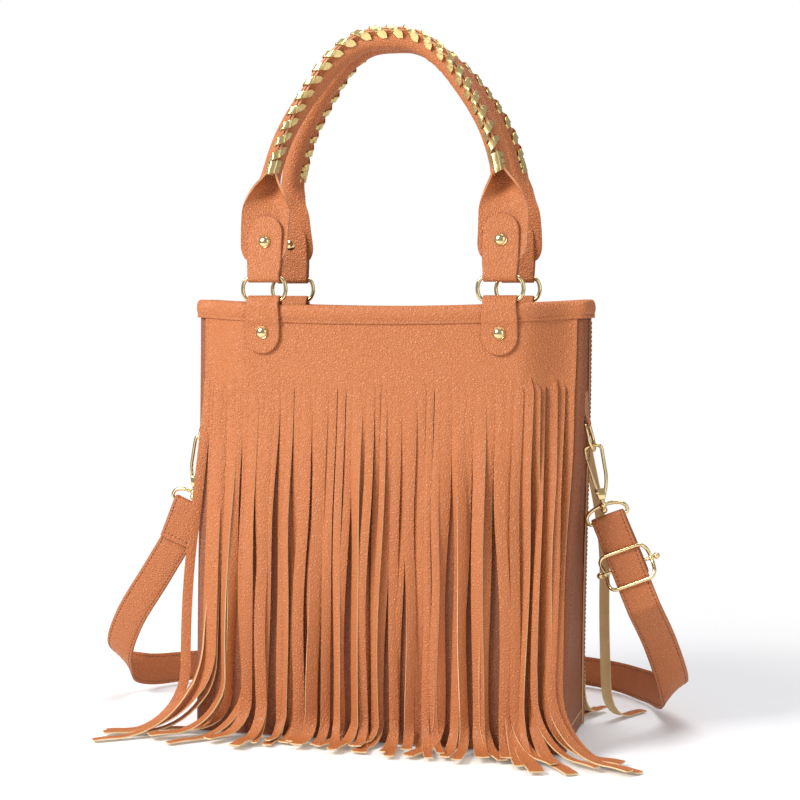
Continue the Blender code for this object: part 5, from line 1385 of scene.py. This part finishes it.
POST_AXIS = {side: (hook_spot(side, 0, 0, 1) - hook_spot(side, 0, 0, 0)).normalized() for _, side in SIDES}
for hand, side in SIDES:
    path = [(FOOT_WIDTH / 2 - 0.0014, FOOT_TOP - 0.002), (HOOK_RADIUS - 0.0012, FOOT_TOP + 0.004)]
    path += [(HOOK_RADIUS - 0.0003, FOOT_TOP + 0.010), (HOOK_RADIUS, ARCH_TOP - ARCH_RISE - 0.003)]
    for k in range(25):
        turn = math.pi * k / 24
        x = math.copysign(abs(math.cos(turn)) ** ARCH_SQUARE, math.cos(turn)) * HOOK_RADIUS
        path.append((x, ARCH_TOP - ARCH_RISE * (1 - math.sin(turn) ** ARCH_SQUARE)))
    path += [(-HOOK_RADIUS, (ARCH_TOP - ARCH_RISE + NOSE_HEIGHT) / 2), (-HOOK_RADIUS, NOSE_HEIGHT)]
    radii = [HOOK_WIRE / 2 * (0.88 + 0.06 * smooth(k / 6)) for k in range(len(path))]
    radii[-1] = HOOK_WIRE / 2 * 0.8
    body = wire(f"hook_wire_{hand}", [hook_spot(side, x, 0, z) for x, z in path], radii, GOLD_PLATE)
    foot_rows = [(FOOT_LOW, 0, 0.0052, 0.0040), (FOOT_LOW + 0.0004, 0, 0.0060, 0.0046)]
    foot_rows += [(FOOT_LOW + 0.0030, 0, 0.0072, FOOT_DEPTH), (FOOT_TOP - 0.0006, 0.0002, 0.0094, FOOT_DEPTH)]
    foot_rows += [(FOOT_TOP, 0.0003, 0.0088, FOOT_DEPTH - 0.0006)]
    foot = cast_block(f"hook_foot_{hand}", side, foot_rows, GOLD_PLATE, 0.45)
    pin_at = hook_spot(side, -0.0022, 0, FOOT_TOP - 0.0028)
    pin_profile = mirrored([(0.0, 0.0027), (0.0010, 0.0026), (0.0012, 0.0023)])
    pin = turned(f"gate_pin_{hand}", pin_profile, pin_at, Vector((0, 1, 0)), GOLD_PLATE, 16)
    eye = hook_spot(side, 0, 0, SWIVEL_HEIGHT)
    neck = FOOT_LOW - SWIVEL_HEIGHT
    post_profile = [(0.0, neck + 0.001), (POST_RADIUS, neck + 0.001), (POST_RADIUS, neck - 0.0002)]
    post_profile += [(POST_RADIUS + 0.0006, neck - 0.0005), (POST_RADIUS + 0.0006, neck - 0.0012)]
    post_profile += [(POST_RADIUS, neck - 0.0015), (POST_RADIUS, -LOOP_WIRE / 2 - 0.0004)]
    ball_drop = LOOP_WIRE / 2 + GAP + BALL_RADIUS * 0.84
    for degrees in range(50, -81, -10):
        turn = math.radians(degrees)
        post_profile.append((BALL_RADIUS * math.cos(turn), BALL_RADIUS * math.sin(turn) - ball_drop))
    post_profile.append((0.0, -BALL_RADIUS - ball_drop))
    post = turned(f"hook_post_{hand}", post_profile, eye, POST_AXIS[side], GOLD_PLATE, 20)
    hook = merged(f"swivel_hook_{hand}", [body, foot, pin, post])
    hand_over(hook, f"hook_{hand}", "gold_metal", f"hook_{hand}")
    nose = NOSE_HEIGHT - GAP - 0.0006
    gate_rows = [(FOOT_TOP - 0.0040, -0.0022, 0.0018, GATE_WIDTH), (FOOT_TOP - 0.0010, -0.0025, 0.0020, GATE_WIDTH)]
    for k in range(1, 7):
        t = k / 6
        z = FOOT_TOP + (nose - FOOT_TOP) * t
        gate_rows.append((z, -0.0026 - (HOOK_RADIUS - 0.0028) * t**0.9, 0.0021 - 0.0004 * t, GATE_WIDTH + 0.0003 * t))
    gate = cast_block(f"hook_gate_{hand}", side, gate_rows, GOLD_PLATE, 0.6)
    hand_over(gate, f"gate_{hand}", "gold_metal", f"gate_{hand}")
    across, down = strap_ways(side)
    shoulder = LOOP_BAR_DROP - LOOP_CORNER
    outline_points = []
    for end, start in ((-1, 180), (1, 270)):
        for k in range(7):
            turn = math.radians(start + 15 * k)
            w = end * (LOOP_HALF - LOOP_CORNER) + LOOP_CORNER * math.cos(turn)
            outline_points.append((w, shoulder - LOOP_CORNER * math.sin(turn)))
    for k in range(1, 24):
        turn = math.radians(7.5 * k)
        outline_points.append((LOOP_HALF * math.cos(turn), shoulder * (1 - math.sin(turn) ** 0.8)))
    loop_wire = wire(
        f"loop_wire_{hand}", [eye + across * w + down * d for w, d in outline_points], LOOP_WIRE / 2, GOLD_PLATE, True
    )
    collar_profile = mirrored([(0.0, 0.0016), (0.0026, 0.0015), (0.0031, 0.0010)])
    collar = turned(f"loop_collar_{hand}", collar_profile, eye, POST_AXIS[side], GOLD_PLATE, 24)
    loop = merged(f"strap_loop_{hand}", [loop_wire, collar])
    hand_over(loop, "shoulder_strap", "gold_metal", f"swivel_loop_{hand}")


# Shoulder strap: two layers of hide glued back to back and sewn along both edges. Its left end is
# turned over its loop and sewn down; its right end runs through the slider and back to its pin.
STRAP_THICKNESS = 0.0020
STRAP_HALF = 0.0130
STRAP_BEND = LOOP_WIRE / 2 + GAP + STRAP_THICKNESS / 2
STRAP_TURN = 0.032
STRAP_STEP = 0.0024
SLIDER_BELOW = 0.038
SLIDER_OUT = 0.0020
SLIDER_TRAVEL = 0.006
SLIDER_WIDTH = 0.0400
SLIDER_HEIGHT = 0.0290
SLIDER_WIRE = 0.0028
PIN_WIRE = 0.0024
PIN_OUT = SLIDER_OUT - STRAP_THICKNESS / 2 - GAP - STRAP_THICKNESS - GAP - PIN_WIRE / 2
PIN_BEND = PIN_WIRE / 2 + GAP + STRAP_THICKNESS / 2
# the way it lies on the floor behind the bag: places, and where its width points
STRAP_ROUTE = [
    ((-0.200, 0.006, 0.110), (-0.93, 0.00, 0.36)),
    ((-0.230, 0.018, 0.068), (-0.90, 0.00, 0.44)),
    ((-0.244, 0.034, 0.036), (-0.70, -0.10, 0.70)),
    ((-0.234, 0.064, 0.018), (-0.30, -0.16, 0.94)),
    ((-0.196, 0.106, 0.015), (-0.05, -0.22, 0.97)),
    ((-0.114, 0.148, 0.0143), (0.00, -0.25, 0.97)),
    ((0.000, 0.172, 0.0143), (0.00, -0.25, 0.97)),
    ((0.088, 0.178, 0.0143), (0.00, -0.25, 0.97)),
    ((0.146, 0.160, 0.0143), (0.05, -0.22, 0.97)),
    ((0.184, 0.122, 0.015), (0.24, -0.10, 0.97)),
    ((0.206, 0.080, 0.019), (0.56, -0.06, 0.83)),
    ((0.212, 0.050, 0.036), (0.82, -0.02, 0.57)),
    ((0.205, 0.026, 0.070), (0.91, 0.00, 0.42)),
]


def strap_spot(side, down, out, over=0.0):
    """A place beside a loop's bar: down along the strap, out to the front, and over across it."""
    eye = hook_spot(side, 0, 0, SWIVEL_HEIGHT)
    across, downward = strap_ways(side)
    return eye + downward * (LOOP_BAR_DROP + down) + across * over + Vector((0, -out, 0))


def strap_stations():
    """Places and width ways along the whole strap."""
    left_way, right_way = strap_ways(-1)[0], strap_ways(1)[0]
    left = [strap_spot(-1, STRAP_TURN, STRAP_BEND - 0.0006), strap_spot(-1, 0.010, STRAP_BEND - 0.0002)]
    for k in range(11):
        turn = math.pi * k / 10
        left.append(strap_spot(-1, -STRAP_BEND * math.sin(turn), STRAP_BEND * math.cos(turn)))
    left += [strap_spot(-1, 0.010, -STRAP_BEND), strap_spot(-1, STRAP_TURN, 0.0006 - STRAP_THICKNESS)]
    right = [strap_spot(1, SLIDER_BELOW + 0.033, SLIDER_OUT), strap_spot(1, SLIDER_BELOW, SLIDER_OUT)]
    right += [strap_spot(1, SLIDER_BELOW - 0.0205, SLIDER_OUT), strap_spot(1, 0.006, STRAP_BEND - 0.0002)]
    for k in range(11):
        turn = math.pi * k / 10
        right.append(strap_spot(1, -STRAP_BEND * math.sin(turn), STRAP_BEND * math.cos(turn)))
    right += [strap_spot(1, 0.006, -STRAP_BEND), strap_spot(1, SLIDER_BELOW - 0.014, PIN_OUT - PIN_BEND)]
    low = SLIDER_BELOW + SLIDER_TRAVEL
    for k in range(9):
        turn = math.pi * k / 8
        right.append(strap_spot(1, low + PIN_BEND * math.sin(turn), PIN_OUT - PIN_BEND * math.cos(turn)))
    right.append(strap_spot(1, SLIDER_BELOW - SLIDER_TRAVEL - 0.004, PIN_OUT + PIN_BEND))
    route = [left[-1]] + [Vector(p) for p, _ in STRAP_ROUTE] + [right[0]]
    ways = [left_way] + [Vector(w) for _, w in STRAP_ROUTE] + [right_way]
    marks = [0.0]
    for a, b in zip(route, route[1:]):
        marks.append(marks[-1] + (b - a).length)
    free = curve_through(route, int(marks[-1] / STRAP_STEP))
    stations = [(p, left_way) for p, _ in resampled(left, STRAP_STEP / 3)[0][:-1]]
    for i, p in enumerate(free):
        goal = marks[-1] * i / (len(free) - 1)
        k = max(j for j in range(len(route) - 1) if marks[j] <= goal + 1e-9)
        stations.append((p, ways[k].lerp(ways[k + 1], smooth((goal - marks[k]) / (marks[k + 1] - marks[k])))))
    return stations + [(p, right_way) for p, _ in resampled(right, STRAP_STEP / 3)[0][1:]]


stations = strap_stations()
frames = []
sections = []
for i, ((p, way), along) in enumerate(zip(stations, ways_along([p for p, _ in stations]))):
    across = (way - along * way.dot(along)).normalized()
    outward = across.cross(along).normalized()
    frames.append((p, across, outward))
    near_end = min(i, len(stations) - 1 - i)
    crown = 0.00028 * smooth(near_end / 20)
    sections.append(strap_section(STRAP_HALF, STRAP_THICKNESS, crown, 0.80, 0.00016))
strap = sweep("shoulder_strap_hide", frames, sections, (TAN_LEATHER, TAB_EDGE), edge_points=STRAP_EDGE_POINTS)
hand_over(strap, "shoulder_strap", "tan_leather", "shoulder_strap")
STITCH_SHARE = 0.80
# the return round the slider's pin is sewn flush on its inner face: these stations get no stitches
UNSEWN = 78
for face_name, sign in (("grain", 1), ("back", -1)):
    sewn = frames if sign > 0 else frames[:-UNSEWN]
    seam_lines = []
    for share in (-STITCH_SHARE, STITCH_SHARE):
        high = STRAP_THICKNESS / 2 + (0.0001 if sign > 0 else -0.00005)
        seam_lines.append([p + across * (share * STRAP_HALF) + outward * (sign * high) for p, across, outward in sewn])
    seams = sew(f"strap_seams_{face_name}", seam_lines, THREAD_DARK, pitch=0.0032, length=0.0024, thickness=0.0006)
    hand_over(seams, "shoulder_strap", "tan_leather")
turned_seam = [strap_spot(-1, STRAP_TURN - 0.004, STRAP_BEND + 0.0004, over=-0.0100 + 0.0005 * k) for k in range(41)]
across_seam = sew("strap_turn_seam", [turned_seam], THREAD_DARK, pitch=0.0030, length=0.0024, thickness=0.0007)
hand_over(across_seam, "shoulder_strap", "tan_leather")


# Slider: a round-cornered frame of plated wire whose sides bow back to a ball-ended pin;
# the strap runs between the two, and its stitched end goes round the pin.
SLIDER_CORNER = 0.006
SLIDER_BALL = 0.0025
slider_across, _ = strap_ways(1)
bar_out = SLIDER_OUT + STRAP_THICKNESS / 2 + GAP + SLIDER_WIRE / 2
half_w = (SLIDER_WIDTH - SLIDER_WIRE) / 2
half_h = (SLIDER_HEIGHT - SLIDER_WIRE) / 2
corners = [(1, 1, 0), (-1, 1, 90), (-1, -1, 180), (1, -1, 270)]
flat = []
for cx, cy, start in corners:
    if (cx, cy) in ((1, 1), (-1, -1)):
        flat += [(cx * half_w, cy * (half_h - SLIDER_CORNER) * t) for t in (-1, -0.75, -0.5, -0.25, 0, 0.25, 0.5, 0.75)]
    for k in range(7):
        turn = math.radians(start + 15 * k)
        w = cx * (half_w - SLIDER_CORNER) + SLIDER_CORNER * math.cos(turn)
        flat.append((w, cy * (half_h - SLIDER_CORNER) + SLIDER_CORNER * math.sin(turn)))
spots = []
for w, u in flat:
    bow = math.cos(math.pi * u / (2 * half_h)) ** 2 * smooth((abs(w) - half_w / 2) / (half_w / 2))
    spots.append(strap_spot(1, SLIDER_BELOW - u, bar_out + (PIN_OUT - bar_out) * bow, over=w))
frame_wire = wire("slider_wire", spots, SLIDER_WIRE / 2, GOLD_PLATE, True)
bosses = []
for end in (-1, 1):
    boss_profile = mirrored([(0.0, 0.0016), (0.0021, 0.0015), (0.0025, 0.0010)])
    at = strap_spot(1, SLIDER_BELOW, PIN_OUT, over=end * half_w)
    bosses.append(turned(f"slider_boss_{end}", boss_profile, at, slider_across, GOLD_PLATE, 20))
hand_over(merged("slider_buckle", [frame_wire] + bosses), "slider", "gold_metal", "slider_frame")
reach = SLIDER_WIDTH / 2 + GAP
pin_profile = [(0.0, reach + 2 * SLIDER_BALL)]
for degrees in range(75, -51, -15):
    turn = math.radians(degrees)
    pin_profile.append((SLIDER_BALL * math.cos(turn), reach + SLIDER_BALL + SLIDER_BALL * math.sin(turn)))
pin_profile.append((PIN_WIRE / 2, reach + SLIDER_BALL - math.sqrt(SLIDER_BALL**2 - (PIN_WIRE / 2) ** 2)))
pin = turned("slider_bar", mirrored(pin_profile), strap_spot(1, SLIDER_BELOW, PIN_OUT), slider_across, GOLD_PLATE, 24)
hand_over(pin, "slider", "gold_metal", "slider_pin")
